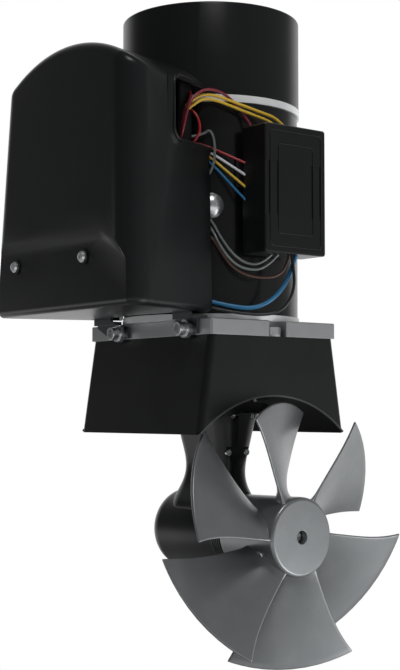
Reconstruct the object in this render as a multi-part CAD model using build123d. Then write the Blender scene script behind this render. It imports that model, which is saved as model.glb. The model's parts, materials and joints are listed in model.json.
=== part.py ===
"""Bow thruster for a 185 mm tunnel: motor, gear leg, six-blade propeller and contactor gear.

Millimetres. The propeller shaft lies on +X and points to the front of the propeller, the
motor shaft stands on +Z, and the origin is where the two axes cross.
"""

import os
from math import atan2, cos, degrees, hypot, pi, radians, sin, sqrt, tan

from build123d import *

# ---------------------------------------------------------------- clearances
RUN_FIT = 0.03  # radial, shaft in bearing
SLIP_FIT = 0.1  # radial, spigot in register or bolt shank in reamed hole
BOLT_GAP = 0.3  # radial, bolt in plain hole
FACE_GAP = 0.3  # between pieces that turn past each other

# ---------------------------------------------------------------- tunnel and saddle
TUNNEL_BORE = 185.0
TUNNEL_WALL = 4.0
ARCH_R = TUNNEL_BORE / 2 + TUNNEL_WALL
SADDLE_TOP_Z = 137.9
SADDLE_FOOT_Z = 69.8
SADDLE_TOP_X, SADDLE_TOP_Y = 143.0, 113.8
SADDLE_FOOT_X, SADDLE_FOOT_Y = 144.0, 134.2
SADDLE_CORNER = 5.0
LEG_SOCKET_R = 24.0  # hole in the tunnel and in the saddle for the leg's spigot
COUPLING_BORE_R = 26.0
COUPLING_BORE_Z = 108.0

# ---------------------------------------------------------------- motor plate
PLATE_T = 11.1
PLATE_X, PLATE_Y = 145.4, 115.6
PLATE_FACET_X, PLATE_FACET_Y = 1.5, 1.5
PLATE_TOP_Z = SADDLE_TOP_Z + PLATE_T
SLOT_W, SLOT_DEPTH, SLOT_Y = 16.0, 14.0, 2.0
SLOT_BOLT_R = 3.0
SLOT_BOLT_IN = 5.8  # from the plate's end to the bolt's axis
EDGE_SCREW_X = (-31.2, 48.8)
EDGE_SCREW_Z = SADDLE_TOP_Z + 4.2

# ---------------------------------------------------------------- gear leg
LEG_SPLIT_X = -16.0
FLANGE_R = TUNNEL_BORE / 2 - 0.2
FLANGE_T = 8.0
FLANGE_X, FLANGE_Y = 84.0, 56.0
SPIGOT_R = LEG_SOCKET_R - SLIP_FIT
# height, middle in X, half length in X, half width in Y, corner radius
LEG_SECTIONS = (
    (14.0, 3.0, 31.0, 24.5, 20.0),
    (24.0, 3.2, 30.0, 21.5, 18.0),
    (31.0, 3.6, 27.6, 16.8, 14.0),
    (42.0, 5.0, 25.6, 13.2, 11.0),
    (62.0, 5.8, 28.6, 15.0, 12.0),
    (80.0, 6.2, 32.0, 18.5, 14.0),
    (86.0, 6.4, 34.5, 21.0, 15.0),
)
LEG_SCREW_Y, LEG_SCREW_R = 8.4, 1.5
LEG_SCREW_SEATS = ((56.0, 28.5), (82.5, 34.0))  # height and X of the head's seat
LEG_BOLT_X, LEG_BOLT_Y, LEG_BOLT_R = 30.0, 16.0, 3.0
TORPEDO_R = 29.5
TORPEDO_END_X = -46.0
TORPEDO_CAP = 21.0  # length of the rounded tail
TORPEDO_DROOP = 1.4  # degrees that the outer form dips to the tail
COLLAR_X0, COLLAR_X1 = 31.0, 41.2
COLLAR_R = 26.4

# ---------------------------------------------------------------- shafts, bearings, gears
DRIVE_SHAFT_R = 5.0
DRIVE_BEARING = (5.0, 11.0, 6.0)  # bore radius, outer radius, width
DRIVE_BEARING_Z = (27.5, 94.0)
PROP_SHAFT_R = 6.0
PROP_BEARING = (6.0, 14.0, 8.0)
PROP_BEARING_X = (-33.0, 14.0)
MOTOR_BEARING = (7.5, 17.5, 11.0)
SEAL_R = 14.0
SEAL_W = 7.0
MODULE = 2.0
PINION_TEETH, GEAR_TEETH = 12, 18
GEAR_FACE = 6.5
TOOTH_THINNING = 0.16  # taken off each tooth at the pitch line, for backlash

# ---------------------------------------------------------------- propeller
PROP_R = 91.7
BLADES = 6
HUB_X0, HUB_X1 = 42.2, 99.3
HUB_REAR_R, HUB_FRONT_R = 26.5, 27.25
HUB_EDGE = 3.0
HUB_WALL = 5.0
ROOT_R = 28.0  # radius where the edge lines below are given
LEAD_X = (72.0, 62.3)  # leading edge: X at the root and at the tip
LEAD_ANGLE = (196.0, 187.7)  # and its angle about X from +Y
TRAIL_X = (95.9, 101.9)
TRAIL_ANGLE = (244.8, 238.8)
BLADE_EDGE_T = 2.1
PROP_SCREW_R = 4.0
PROP_SCREW_HOLE_R = 4.5

# ---------------------------------------------------------------- motor
YOKE_R, YOKE_WALL = 64.3, 6.0
YOKE_SHARE = YOKE_R / 64.3  # spreads the wires' routes with the motor
SHIELD_R = YOKE_R + 1.0
SHIELD_FLANGE_T = 4.4
CAP_INNER_EDGE = 1.0
BAND_R, BAND_Z, BAND_H = YOKE_R + 1.5, 302.4, 5.0
CAP_R, CAP_WALL, CAP_EDGE = YOKE_R + 1.2, 2.5, 1.5
MOTOR_TOP_Z = 373.8
MAGNET_T = 9.5
MAGNET_GAP = 1.6  # between the magnets and the armature's core
CORE_R = YOKE_R - YOKE_WALL - MAGNET_T - MAGNET_GAP
CORE_Z0, CORE_Z1 = 192.0, 262.0
CORE_SLOTS = 12
WINDING_R, WINDING_H = CORE_R - 4.2, 13.0
COMMUTATOR_R, COMMUTATOR_Z0, COMMUTATOR_Z1 = 20.0, 279.0, 298.0
COMMUTATOR_BARS = 24
BRUSH_W, BRUSH_H = 8.0, 12.0
BRUSH_L = YOKE_R - YOKE_WALL - COMMUTATOR_R - 18.3
BRUSHES = 4
SPRING_T = 0.6
TERMINAL_ANGLE = -38.7  # about Z from +X
TERMINAL_Z = 229.0
TERMINAL_HEAD_R, TERMINAL_HEAD_H = 9.0, 4.6

# ---------------------------------------------------------------- coupling
COUPLING_R = 20.0
COUPLING_HUB_L = 11.0
COUPLING_JAW_L = 9.0
COUPLING_Z = 124.0  # middle of the spider
COUPLING_JAWS = 3

# ---------------------------------------------------------------- contactor cover
COVER_FLOOR_Z = 153.6
COVER_EAVE_Z, COVER_CROWN_Z = 317.0, 336.6
COVER_X0, COVER_X1 = -77.6, 87.0
COVER_FRONT_Y = -135.0
COVER_WALL = 2.5
COVER_BACK_R = YOKE_R + 5.9
COVER_SIDE_END = (0.8305 * YOKE_R, -0.706 * YOKE_R)  # rear end of the slanted side wall
COVER_REAR_Y = COVER_SIDE_END[1] + 12.0
COVER_STEP_X, COVER_STEP_Z = -89.8, 199.0  # the left side steps in below this height
PANEL_TOP_Z, PANEL_SHELF_Z = 207.0, 199.0
PANEL_RAMP_X0, PANEL_RAMP_X1, PANEL_RAMP_Z = 51.4, 79.0, 191.5
COVER_SCREW_X, COVER_SCREW_Z = (-58.0, 29.3), 188.5
WINDOW_START, WINDOW_Z0, WINDOW_Z1 = 0.515, 268.5, 310.0

# ---------------------------------------------------------------- control box
BOX_X0 = YOKE_R + 4.9
BOX_X1 = BOX_X0 + 24.0
BOX_Y0, BOX_Y1 = -27.0, 29.0
BOX_Z0, BOX_Z1 = 194.0, 283.0
BOX_WALL, LID_T = 2.5, 4.0


# ================================================================ helpers
def block(x0, x1, y0, y1, z0, z1):
    """A box between two corners."""
    return Pos((x0 + x1) / 2, (y0 + y1) / 2, (z0 + z1) / 2) * Box(x1 - x0, y1 - y0, z1 - z0)


def rod_x(r, x0, x1, y=0.0, z=0.0):
    """A cylinder along X."""
    return Pos((x0 + x1) / 2, y, z) * Rot(0, 90, 0) * Cylinder(r, x1 - x0)


def rod_y(r, y0, y1, x=0.0, z=0.0):
    """A cylinder along Y."""
    return Pos(x, (y0 + y1) / 2, z) * Rot(90, 0, 0) * Cylinder(r, y1 - y0)


def rod_z(r, z0, z1, x=0.0, y=0.0):
    """A cylinder along Z."""
    return Pos(x, y, (z0 + z1) / 2) * Cylinder(r, z1 - z0)


def turned_x(points):
    """A solid turned about X from (x, radius) corners."""
    outline = Polyline([(x, r, 0) for x, r in points], close=True)
    return revolve(make_face(outline), Axis.X)


def turned_z(points):
    """A solid turned about Z from (radius, z) corners."""
    outline = Polyline([(r, 0, z) for r, z in points], close=True)
    return revolve(make_face(outline), Axis.Z)


def slab(length, width, corner, z):
    """A flat rounded rectangle at a height."""
    return Pos(0, 0, z) * RectangleRounded(length, width, corner)


def ring_z(r_in, r_out, z0, z1):
    """A plain ring about Z."""
    return rod_z(r_out, z0, z1) - rod_z(r_in, z0 - 1, z1 + 1)


def around_z(item, count, start=0.0):
    """Copies of a solid spaced evenly about Z."""
    return [Rot(0, 0, start + 360 * k / count) * item for k in range(count)]


def hex_socket(r, depth, head_top):
    """A cutter for a hexagon socket, downwards from a head's top at z = head_top."""
    return extrude(Pos(0, 0, head_top + 1) * RegularPolygon(r, 6), amount=-(depth + 1))


def cap_screw(shank_r, length, head_h=None):
    """A hexagon-socket cap screw on Z: head above z = 0, shank below."""
    head_h = head_h or 2 * shank_r
    head = rod_z(1.62 * shank_r, 0, head_h)
    head = chamfer(head.edges().group_by(Axis.Z)[-1], 0.15 * shank_r)
    head -= hex_socket(0.95 * shank_r, head_h * 0.55, head_h)
    return head + rod_z(shank_r, -length, 0)


def pan_screw(shank_r, length):
    """A pan-head screw on Z with a socket: head above z = 0, shank below."""
    head = turned_z(
        [(0, 0), (2 * shank_r, 0), (2 * shank_r, 0.5 * shank_r), (1.5 * shank_r, 1.15 * shank_r), (0, 1.35 * shank_r)]
    )
    head -= hex_socket(0.75 * shank_r, 0.7 * shank_r, 1.35 * shank_r)
    return head + rod_z(shank_r, -length, 0)


def washer(r_in, r_out, t):
    """A washer lying on z = 0."""
    return ring_z(r_in, r_out, 0, t)


def facing(x, y, z, direction):
    """A location whose Z axis points along a direction."""
    return Plane(origin=(x, y, z), z_dir=direction).location


# ================================================================ saddle and plate
def tunnel_saddle():
    """Moulded block between the tunnel and the motor plate."""
    body = loft(
        [
            slab(SADDLE_FOOT_X, SADDLE_FOOT_Y, SADDLE_CORNER, SADDLE_FOOT_Z),
            slab(SADDLE_TOP_X, SADDLE_TOP_Y, SADDLE_CORNER, SADDLE_TOP_Z),
        ]
    )
    body -= rod_x(ARCH_R, -SADDLE_FOOT_X, SADDLE_FOOT_X)
    body -= rod_z(LEG_SOCKET_R, 0, SADDLE_TOP_Z)
    body -= rod_z(COUPLING_BORE_R, COUPLING_BORE_Z, SADDLE_TOP_Z + 1)
    for x in (-LEG_BOLT_X, LEG_BOLT_X):
        for y in (-LEG_BOLT_Y, LEG_BOLT_Y):
            body -= rod_z(LEG_BOLT_R + BOLT_GAP, 0, SADDLE_TOP_Z, x, y)
            body -= rod_z(LEG_BOLT_R * 2, LEG_BOLT_SEAT_Z, SADDLE_TOP_Z + 1, x, y)
    for x in (-SLOT_BOLT_X, SLOT_BOLT_X):
        body -= rod_z(SLOT_BOLT_R, SADDLE_TOP_Z - SLOT_BOLT_GRIP, SADDLE_TOP_Z + 1, x, SLOT_Y)
    return body


LEG_BOLT_SEAT_Z = SADDLE_TOP_Z - 7.0
SLOT_BOLT_X = PLATE_X / 2 - SLOT_BOLT_IN
SLOT_BOLT_GRIP = 18.0


def motor_plate():
    """Machined aluminium plate with open slots in its ends."""
    x, y = PLATE_X / 2, PLATE_Y / 2
    corner = [(x, y - PLATE_FACET_Y), (x - PLATE_FACET_X, y)]
    outline = corner + [(-a, b) for a, b in reversed(corner)]
    outline += [(-a, -b) for a, b in corner] + [(a, -b) for a, b in reversed(corner)]
    plate = extrude(Pos(0, 0, SADDLE_TOP_Z) * Polygon(*outline, align=None), amount=PLATE_T)
    plate = chamfer(plate.edges().group_by(Axis.Z)[-1], 0.6)
    plate -= rod_z(REGISTER_R + SLIP_FIT, SADDLE_TOP_Z - 1, PLATE_TOP_Z + 1)
    for side in (-1, 1):
        slot = SlotCenterToCenter(2 * SLOT_DEPTH - SLOT_W, SLOT_W)
        at = Pos(side * x, SLOT_Y, SADDLE_TOP_Z - 1)
        plate -= extrude(at * slot, amount=PLATE_T + 2)
    for sx in EDGE_SCREW_X:
        plate -= rod_y(EDGE_SCREW_R, -y - 1, -y + EDGE_SCREW_GRIP, sx, EDGE_SCREW_Z)
    for bolt in MOTOR_BOLTS:
        plate -= rod_z(MOTOR_BOLT_R + BOLT_GAP, SADDLE_TOP_Z - 1, PLATE_TOP_Z + 1, *bolt)
        plate -= rod_z(MOTOR_BOLT_R * 2, SADDLE_TOP_Z - 1, MOTOR_BOLT_SEAT_Z, *bolt)
    return plate


REGISTER_R = 27.0
EDGE_SCREW_R = 3.0
EDGE_SCREW_GRIP = 12.0
MOTOR_BOLT_R = 3.0
MOTOR_BOLT_PCD = 80.0
MOTOR_BOLT_SEAT_Z = SADDLE_TOP_Z + 6.5
MOTOR_BOLTS = [
    (MOTOR_BOLT_PCD / 2 * cos(radians(a)), MOTOR_BOLT_PCD / 2 * sin(radians(a))) for a in (45, 135, 225, 315)
]


def plate_edge_screws():
    """Two cap screws with washers that hold the bracket to the plate's edge."""
    face = -PLATE_Y / 2 - BRACKET_T
    screw = cap_screw(EDGE_SCREW_R, EDGE_SCREW_GRIP - 1 + BRACKET_T + EDGE_WASHER_T)
    made = []
    for x in EDGE_SCREW_X:
        at = facing(x, face - EDGE_WASHER_T, EDGE_SCREW_Z, (0, -1, 0))
        made.append(at * screw)
        made.append(facing(x, face, EDGE_SCREW_Z, (0, -1, 0)) * washer(EDGE_SCREW_R + SLIP_FIT, 6.2, EDGE_WASHER_T))
    return made


BRACKET_T = 2.0
EDGE_WASHER_T = 3.2


def slot_bolts():
    """Two bolts with washers in the open slots of the motor plate."""
    made = []
    for x in (-SLOT_BOLT_X, SLOT_BOLT_X):
        at = Pos(x, SLOT_Y, SADDLE_TOP_Z)
        shank = rod_z(SLOT_BOLT_R - SLIP_FIT, -SLOT_BOLT_GRIP + 1, 0)
        head = extrude(Pos(0, 0, 1.6) * RegularPolygon(5.77, 6), amount=5.0)
        made.append(at * (shank + head + rod_z(SLOT_BOLT_R - SLIP_FIT, 0, 1.6)))
        made.append(at * washer(SLOT_BOLT_R, 5.6, 1.6))
    return made


MOTOR_BOLT_LENGTH = PLATE_TOP_Z - MOTOR_BOLT_SEAT_Z + 6.0


# ================================================================ gear leg
def leg_form():
    """Outer form of the leg, both halves in one."""
    sections = [
        Pos(mid, 0, z) * RectangleRounded(2 * half_x, 2 * half_y, corner)
        for z, mid, half_x, half_y, corner in LEG_SECTIONS
    ]
    neck = loft(sections)
    shell = rod_x(FLANGE_R, -FLANGE_X, FLANGE_X) - rod_x(FLANGE_R - FLANGE_T, -FLANGE_X, FLANGE_X)
    column = extrude(Pos(4, 0, 50) * RectangleRounded(FLANGE_X, FLANGE_Y, 20), amount=60)
    flange = column & shell
    spigot = rod_z(SPIGOT_R, 80, COUPLING_BORE_Z - 1)
    tail = TORPEDO_END_X + TORPEDO_CAP
    side = Spline((COLLAR_X0, COLLAR_R), (14, TORPEDO_R - 0.8), (tail, TORPEDO_R), tangents=((-1, 0.22), (-1, 0)))
    turns = [radians(a) for a in (0, 20, 40, 58, 72)]
    cap = Spline(*[(tail - TORPEDO_CAP * sin(a), TORPEDO_R * cos(a)) for a in turns], tangents=((-1, 0), (-0.2, -1)))
    tip = cap @ 1
    ends = [Line((tip.X, 0), (COLLAR_X0, 0)), Line((COLLAR_X0, 0), (COLLAR_X0, COLLAR_R)), Line(tip, (tip.X, 0))]
    torpedo = revolve(make_face([side, cap, *ends]), Axis.X)
    pivot = Pos(COLLAR_X0, 0, 0)
    torpedo = pivot * Rot(0, -TORPEDO_DROOP, 0) * Pos(-COLLAR_X0, 0, 0) * torpedo
    nose = rod_x(COLLAR_R - 0.2, COLLAR_X0 - 6, COLLAR_X0 + 2)
    form = torpedo + neck
    form += flange
    form += spigot
    form += nose
    return form - block(COLLAR_X0, 200, -60, 60, -60, 60)


def leg_bores():
    """Everything bored and cored out of the leg."""
    r, outer, width = DRIVE_BEARING
    cut = rod_z(DRIVE_SHAFT_R + 1.0, 20, 120)
    low, high = DRIVE_BEARING_Z
    cut += rod_z(outer, 0, low + width)
    cut += rod_z(outer, high, 120)
    cut += rod_z(PINION_ROOM_R, 0, PINION_ROOM_Z)
    cut += rod_x(GEAR_ROOM_R, PROP_BEARING_X[0] + PROP_BEARING[2], GEAR_ROOM_X)
    cut += rod_x(PROP_SHAFT_R + 1.5, PROP_BEARING_X[0] - 3, COLLAR_X0 + 1)
    cut += rod_x(PROP_BEARING[1], PROP_BEARING_X[0], 0)
    cut += rod_x(PROP_BEARING[1], 0, PROP_BEARING_X[1] + PROP_BEARING[2])
    cut += rod_x(SEAL_R, COLLAR_X0 - SEAL_W, COLLAR_X0 + 1)
    return cut


PINION_ROOM_R = 15.0
PINION_ROOM_Z = DRIVE_BEARING_Z[0]
GEAR_ROOM_R = 22.0
GEAR_ROOM_X = 14.0


def leg_screw_sites():
    """Where the screws that clamp the two leg halves lie."""
    return [(seat, y, z) for z, seat in LEG_SCREW_SEATS for y in (-LEG_SCREW_Y, LEG_SCREW_Y)]


LEG_SCREW_GRIP = 3.6


def gear_leg():
    """Front half of the leg: flange, neck, gear case and shaft seats."""
    body = leg_form() - leg_bores()
    body &= block(LEG_SPLIT_X, 100, -100, 100, -100, 200)
    for seat, y, z in leg_screw_sites():
        body -= rod_x(LEG_SCREW_R + BOLT_GAP, LEG_SPLIT_X - 1, 60, y, z)
        body -= rod_x(LEG_SCREW_R * 1.62 + BOLT_GAP, seat, 60, y, z)
    for x in (-LEG_BOLT_X, LEG_BOLT_X):
        for y in (-LEG_BOLT_Y, LEG_BOLT_Y):
            body -= rod_z(LEG_BOLT_R, LEG_BOLT_END_Z - 1, 120, x, y)
    return max(body.solids(), key=lambda s: s.volume)


def gear_leg_rear():
    """Rear half of the leg: trailing strip and rounded tail."""
    body = leg_form() - leg_bores()
    body &= block(-100, LEG_SPLIT_X, -100, 100, -100, 200)
    for _, y, z in leg_screw_sites():
        body -= rod_x(LEG_SCREW_R, LEG_SPLIT_X - LEG_SCREW_GRIP, LEG_SPLIT_X + 1, y, z)
    for y in (-LEG_BOLT_Y, LEG_BOLT_Y):
        body -= rod_z(LEG_BOLT_R, LEG_BOLT_END_Z - 1, 120, -LEG_BOLT_X, y)
    return max(body.solids(), key=lambda s: s.volume)


def leg_screws():
    """Four long screws that hold the leg halves together."""
    made = []
    for seat, y, z in leg_screw_sites():
        screw = cap_screw(LEG_SCREW_R - 0.02, seat - LEG_SPLIT_X + LEG_SCREW_GRIP - 0.4)
        made.append(facing(seat, y, z, (1, 0, 0)) * screw)
    return made


LEG_BOLT_END_Z = 86.0


def socket_bolts():
    """Cap screws: four clamp the leg to the saddle, four hold the motor on its plate."""
    long = cap_screw(LEG_BOLT_R - 0.02, LEG_BOLT_SEAT_Z - LEG_BOLT_END_Z)
    short = cap_screw(MOTOR_BOLT_R - 0.02, MOTOR_BOLT_LENGTH)
    made = [Pos(x, y, LEG_BOLT_SEAT_Z) * long for x in (-LEG_BOLT_X, LEG_BOLT_X) for y in (-LEG_BOLT_Y, LEG_BOLT_Y)]
    return made + [Pos(x, y, MOTOR_BOLT_SEAT_Z) * Rot(180, 0, 0) * short for x, y in MOTOR_BOLTS]


def ribbed_collar():
    """Seal carrier with fins between the gear case and the propeller hub."""
    width = COLLAR_X1 - COLLAR_X0
    fins = 4
    pitch = (width - 2.0) / fins
    outline = [(COLLAR_X0, SEAL_R), (COLLAR_X0, COLLAR_R)]
    for k in range(fins):
        start = COLLAR_X0 + 2.0 + k * pitch
        outline += [(start, COLLAR_R), (start, COLLAR_R - 2.2), (start + 0.45 * pitch, COLLAR_R - 2.2)]
        outline += [(start + 0.45 * pitch, COLLAR_R)]
    outline += [(COLLAR_X1, COLLAR_R), (COLLAR_X1, PROP_SHAFT_R + 0.5), (COLLAR_X0 + 3, PROP_SHAFT_R + 0.5)]
    outline += [(COLLAR_X0 + 3, SEAL_R)]
    return turned_x(outline)


# ================================================================ bearings and seals
def ball_bearing(bore_r, outer_r, width):
    """A shielded bearing standing on z = 0, its shield let in between the rings."""
    inner, outer = bore_r + (outer_r - bore_r) * 0.27, bore_r + (outer_r - bore_r) * 0.73
    sink = 0.08 * width
    outline = [(bore_r, 0), (inner, 0), (inner, sink), (outer, sink), (outer, 0), (outer_r, 0)]
    outline += [(outer_r, width), (outer, width), (outer, width - sink), (inner, width - sink)]
    outline += [(inner, width), (bore_r, width)]
    return turned_z(outline)


def ball_bearings():
    """Two bearings each for the upright shaft, the propeller shaft and the armature."""
    made = []
    for bore, outer, width, places in (
        (*DRIVE_BEARING, [Pos(0, 0, z) for z in DRIVE_BEARING_Z]),
        (*PROP_BEARING, [Pos(x, 0, 0) * Rot(0, 90, 0) for x in PROP_BEARING_X]),
        (*MOTOR_BEARING, [Pos(0, 0, z) for z in (LOWER_SEAT_Z, UPPER_SEAT_Z)]),
    ):
        bearing = ball_bearing(bore + RUN_FIT, outer - 0.02, width)
        made += [place * bearing for place in places]
    return made


def prop_shaft_seal():
    """Lip seal at the front of the gear case."""
    x0, x1 = COLLAR_X0 - SEAL_W, COLLAR_X0
    lip = PROP_SHAFT_R + 0.05
    outline = [(x0, SEAL_R - 0.02), (x0, SEAL_R - 3), (x0 + 3, SEAL_R - 4), (x0 + 2, lip), (x0 + 3.5, lip)]
    outline += [(x1 - 1.5, SEAL_R - 5), (x1, SEAL_R - 5), (x1, SEAL_R - 0.02)]
    return turned_x(outline)


def drive_shaft_seal():
    """Lip seal above the upper bearing of the upright shaft."""
    z0 = DRIVE_BEARING_Z[1] + DRIVE_BEARING[2]
    z1 = COUPLING_BORE_Z - 1
    outer, lip = DRIVE_BEARING[1] - 0.02, DRIVE_SHAFT_R + 0.05
    outline = [(outer, z0), (outer - 2, z0), (outer - 3, z0 + 2), (lip, z0 + 1), (lip, z0 + 2.5)]
    outline += [(outer - 3.5, z1 - 1), (outer - 3.5, z1), (outer, z1)]
    return turned_z(outline)


def shaft_seals():
    """The lip seals of both shafts."""
    return [prop_shaft_seal(), drive_shaft_seal()]


# ================================================================ bevel gears
def involute(base, t):
    """Point of an involute of a base circle at roll angle t."""
    return base * (cos(t) + t * sin(t)), base * (sin(t) - t * cos(t))


def space_outline(teeth, cone, beyond):
    """Half angles and radii of a tooth space on the developed back cone, root to tip."""
    pitch_r = MODULE * teeth / 2 / cos(cone)
    base = pitch_r * cos(radians(20))
    root, tip = pitch_r - 1.25 * MODULE, pitch_r + MODULE + beyond
    roll_pitch = tan(radians(20))
    inv_pitch = roll_pitch - radians(20)
    half_space = (pi * MODULE / 4 + TOOTH_THINNING / 2) / pitch_r
    rows = []
    for radius in (root, max(base, root) + 0.02, pitch_r, pitch_r + 0.55 * MODULE, tip):
        roll = sqrt(max(radius**2 / base**2 - 1, 0))
        rows.append((radius, half_space + (roll - atan2(roll, 1)) - inv_pitch))
    return rows


def bevel_gear_solid(teeth, mates, bore_r, back, hub_r, turn):
    """A straight bevel gear about Z with its pitch apex at the origin and its teeth towards it.

    The flanks run to the apex. turn is the angle in degrees of the middle of one tooth space.
    """
    cone = atan2(teeth, mates)
    pitch_r = MODULE * teeth / 2
    reach = pitch_r / sin(cone)
    share = (reach - GEAR_FACE) / reach
    tip_r, tip_z = pitch_r + MODULE * cos(cone), pitch_r / tan(cone) - MODULE * sin(cone)
    root_r, root_z = pitch_r - 1.6 * MODULE * cos(cone), pitch_r / tan(cone) + 1.6 * MODULE * sin(cone)
    blank = turned_z(
        [
            (bore_r, back),
            (hub_r, back),
            (hub_r, root_z + 0.4),
            (root_r, root_z + 0.4),
            (root_r, root_z),
            (tip_r, tip_z),
            (tip_r * share, tip_z * share),
            (root_r * share, root_z * share),
            (bore_r, root_z * share),
        ]
    )
    rows = space_outline(teeth, cone, 1.2)
    apex_back = reach / cos(cone)
    corners = []
    for radius, angle in rows:
        z, r = apex_back - radius * sin(cone), radius * cos(cone)
        corners.append((r / z, angle / cos(cone)))

    def profile(z):
        side = [(z * r * cos(a), z * r * sin(a)) for r, a in corners]
        return Pos(0, 0, z) * Polygon(*side, *[(x, -y) for x, y in reversed(side)], align=None)

    # the two planes lie beyond the large end and short of the small end of the teeth
    space = loft([profile(0.45 * tip_z * share), profile(1.5 * root_z)], ruled=True)
    for cut in around_z(space, teeth, turn):
        blank -= cut
    return blank


def bevel_pinion():
    """Twelve-tooth pinion keyed to the upright shaft, a tooth towards the large gear."""
    half_tooth = 180 / PINION_TEETH
    return bevel_gear_solid(
        PINION_TEETH, GEAR_TEETH, DRIVE_SHAFT_R, DRIVE_BEARING_Z[0] - FACE_GAP, 8.5, 180 + half_tooth
    )


def bevel_gear():
    """Eighteen-tooth gear on the propeller shaft, a space towards the pinion."""
    gear = bevel_gear_solid(GEAR_TEETH, PINION_TEETH, PROP_SHAFT_R, GEAR_BACK, 11.0, 180)
    return Rot(0, -90, 0) * gear


GEAR_BACK = -(PROP_BEARING_X[0] + PROP_BEARING[2]) - FACE_GAP


# ================================================================ shafts and coupling
def drive_shaft():
    """Upright shaft from the pinion to the coupling."""
    shaft = rod_z(DRIVE_SHAFT_R, PINION_NOSE_Z, COUPLING_Z - COUPLING_JAW_L / 2 - 1)
    return chamfer(shaft.edges().group_by(Axis.Z)[-1], 0.8)


PINION_NOSE_Z = 12.0


def coupling_hub(r_bore):
    """A jaw hub standing on its back at z = 0 with the jaws upwards."""
    hub = rod_z(COUPLING_R, 0, COUPLING_HUB_L)
    half = 360 / COUPLING_JAWS / 4 - 4.5
    jaw = ring_z(9.5, COUPLING_R, COUPLING_HUB_L, COUPLING_HUB_L + COUPLING_JAW_L)
    reach = 2 * COUPLING_R
    wedge = extrude(
        Polygon(
            (0, 0),
            (reach * cos(radians(half)), -reach * sin(radians(half))),
            (reach * cos(radians(half)), reach * sin(radians(half))),
            align=None,
        ),
        amount=60,
    )
    jaw &= wedge
    for tooth in around_z(jaw, COUPLING_JAWS):
        hub += tooth
    return hub - rod_z(r_bore, -1, 60)


def coupling_lower_hub():
    """Jaw hub clamped to the upright shaft."""
    base = COUPLING_Z - COUPLING_JAW_L / 2 - COUPLING_HUB_L
    return Pos(0, 0, base - 0.2) * coupling_hub(DRIVE_SHAFT_R)


def coupling_upper_hub():
    """Jaw hub clamped to the armature shaft, half a jaw further round."""
    top = COUPLING_Z + COUPLING_JAW_L / 2 + COUPLING_HUB_L
    turned = Rot(0, 0, 180 / COUPLING_JAWS) * Rot(180, 0, 0) * coupling_hub(ARMATURE_END_R)
    return Pos(0, 0, top + 0.2) * turned


ARMATURE_END_R = 6.0


def coupling_spider():
    """Rubber star between the jaws of the two hubs."""
    ring = ring_z(5.6, 9.3, COUPLING_Z - COUPLING_JAW_L / 2 + 0.2, COUPLING_Z + COUPLING_JAW_L / 2 - 0.2)
    for leg in around_z(
        block(9.0, COUPLING_R - 0.6, -0.5, 0.5, COUPLING_Z - COUPLING_JAW_L / 2 + 0.2, COUPLING_Z + COUPLING_JAW_L / 2 - 0.2),
        2 * COUPLING_JAWS,
        90 / COUPLING_JAWS,
    ):
        ring += leg
    return ring


# ================================================================ motor
LOWER_SEAT_Z = 160.0
UPPER_SEAT_Z = 304.5


def motor_lower_shield():
    """Cast shield under the motor: flange, register and bearing seat."""
    bore, outer, width = MOTOR_BEARING
    top = PLATE_TOP_Z + SHIELD_FLANGE_T
    inner = YOKE_R - YOKE_WALL
    shield = turned_z(
        [
            (bore + 1.5, PLATE_TOP_Z - 6),
            (REGISTER_R, PLATE_TOP_Z - 6),
            (REGISTER_R, PLATE_TOP_Z),
            (SHIELD_R, PLATE_TOP_Z),
            (SHIELD_R, top),
            (inner - 0.02, top),
            (inner - 0.02, top + 7),
            (inner - 4, top + 7),
            (inner - 4, top + 4),
            (outer + 5, top + 4),
            (outer + 4, LOWER_SEAT_Z + width),
            (outer, LOWER_SEAT_Z + width),
            (outer, LOWER_SEAT_Z),
            (bore + 1.5, LOWER_SEAT_Z),
        ]
    )
    for x, y in MOTOR_BOLTS:
        shield -= rod_z(MOTOR_BOLT_R, PLATE_TOP_Z - 1, MOTOR_BOLT_SEAT_Z + MOTOR_BOLT_LENGTH + 0.5, x, y)
    return shield


def motor_yoke():
    """Steel tube of the motor."""
    yoke = ring_z(YOKE_R - YOKE_WALL, YOKE_R, PLATE_TOP_Z + SHIELD_FLANGE_T, BAND_Z)
    return yoke - terminal_place() * rod_z(TERMINAL_SHANK_R + BOLT_GAP, -YOKE_R / 2, 5)


TERMINAL_SHANK_R = 4.0


def terminal_place():
    """Where the terminal stud leaves the yoke, Z pointing out."""
    a = radians(TERMINAL_ANGLE)
    return facing(YOKE_R * cos(a), YOKE_R * sin(a), TERMINAL_Z, (cos(a), sin(a), 0))


def terminal_bolt():
    """Domed terminal nut and stud on the side of the motor."""
    r, h = TERMINAL_HEAD_R, TERMINAL_HEAD_H
    ball = (r * r + h * h) / (2 * h)
    dome = (Pos(0, 0, h - ball) * Sphere(ball)) & rod_z(r, 0.05, h)
    stud = rod_z(TERMINAL_SHANK_R, -YOKE_WALL + 0.6, 0.05)
    return terminal_place() * (dome + stud)


def motor_upper_shield():
    """Upper shield, whose bare rim shows as a bright band, with its bearing seat."""
    bore, outer, width = MOTOR_BEARING
    band_top = BAND_Z + BAND_H
    inner = YOKE_R - YOKE_WALL - 0.02
    cap_inner = CAP_R - CAP_WALL - 0.05
    return turned_z(
        [
            (bore + 1.5, UPPER_SEAT_Z - 2.5),
            (inner, UPPER_SEAT_Z - 2.5),
            (inner, BAND_Z),
            (BAND_R, BAND_Z),
            (BAND_R, band_top),
            (cap_inner, band_top),
            (cap_inner, band_top + 4),
            (cap_inner - 4, band_top + 4),
            (cap_inner - 4, band_top),
            (outer + 4, band_top),
            (outer + 4, UPPER_SEAT_Z + width),
            (outer, UPPER_SEAT_Z + width),
            (outer, UPPER_SEAT_Z),
            (bore + 1.5, UPPER_SEAT_Z),
        ]
    )


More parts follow.
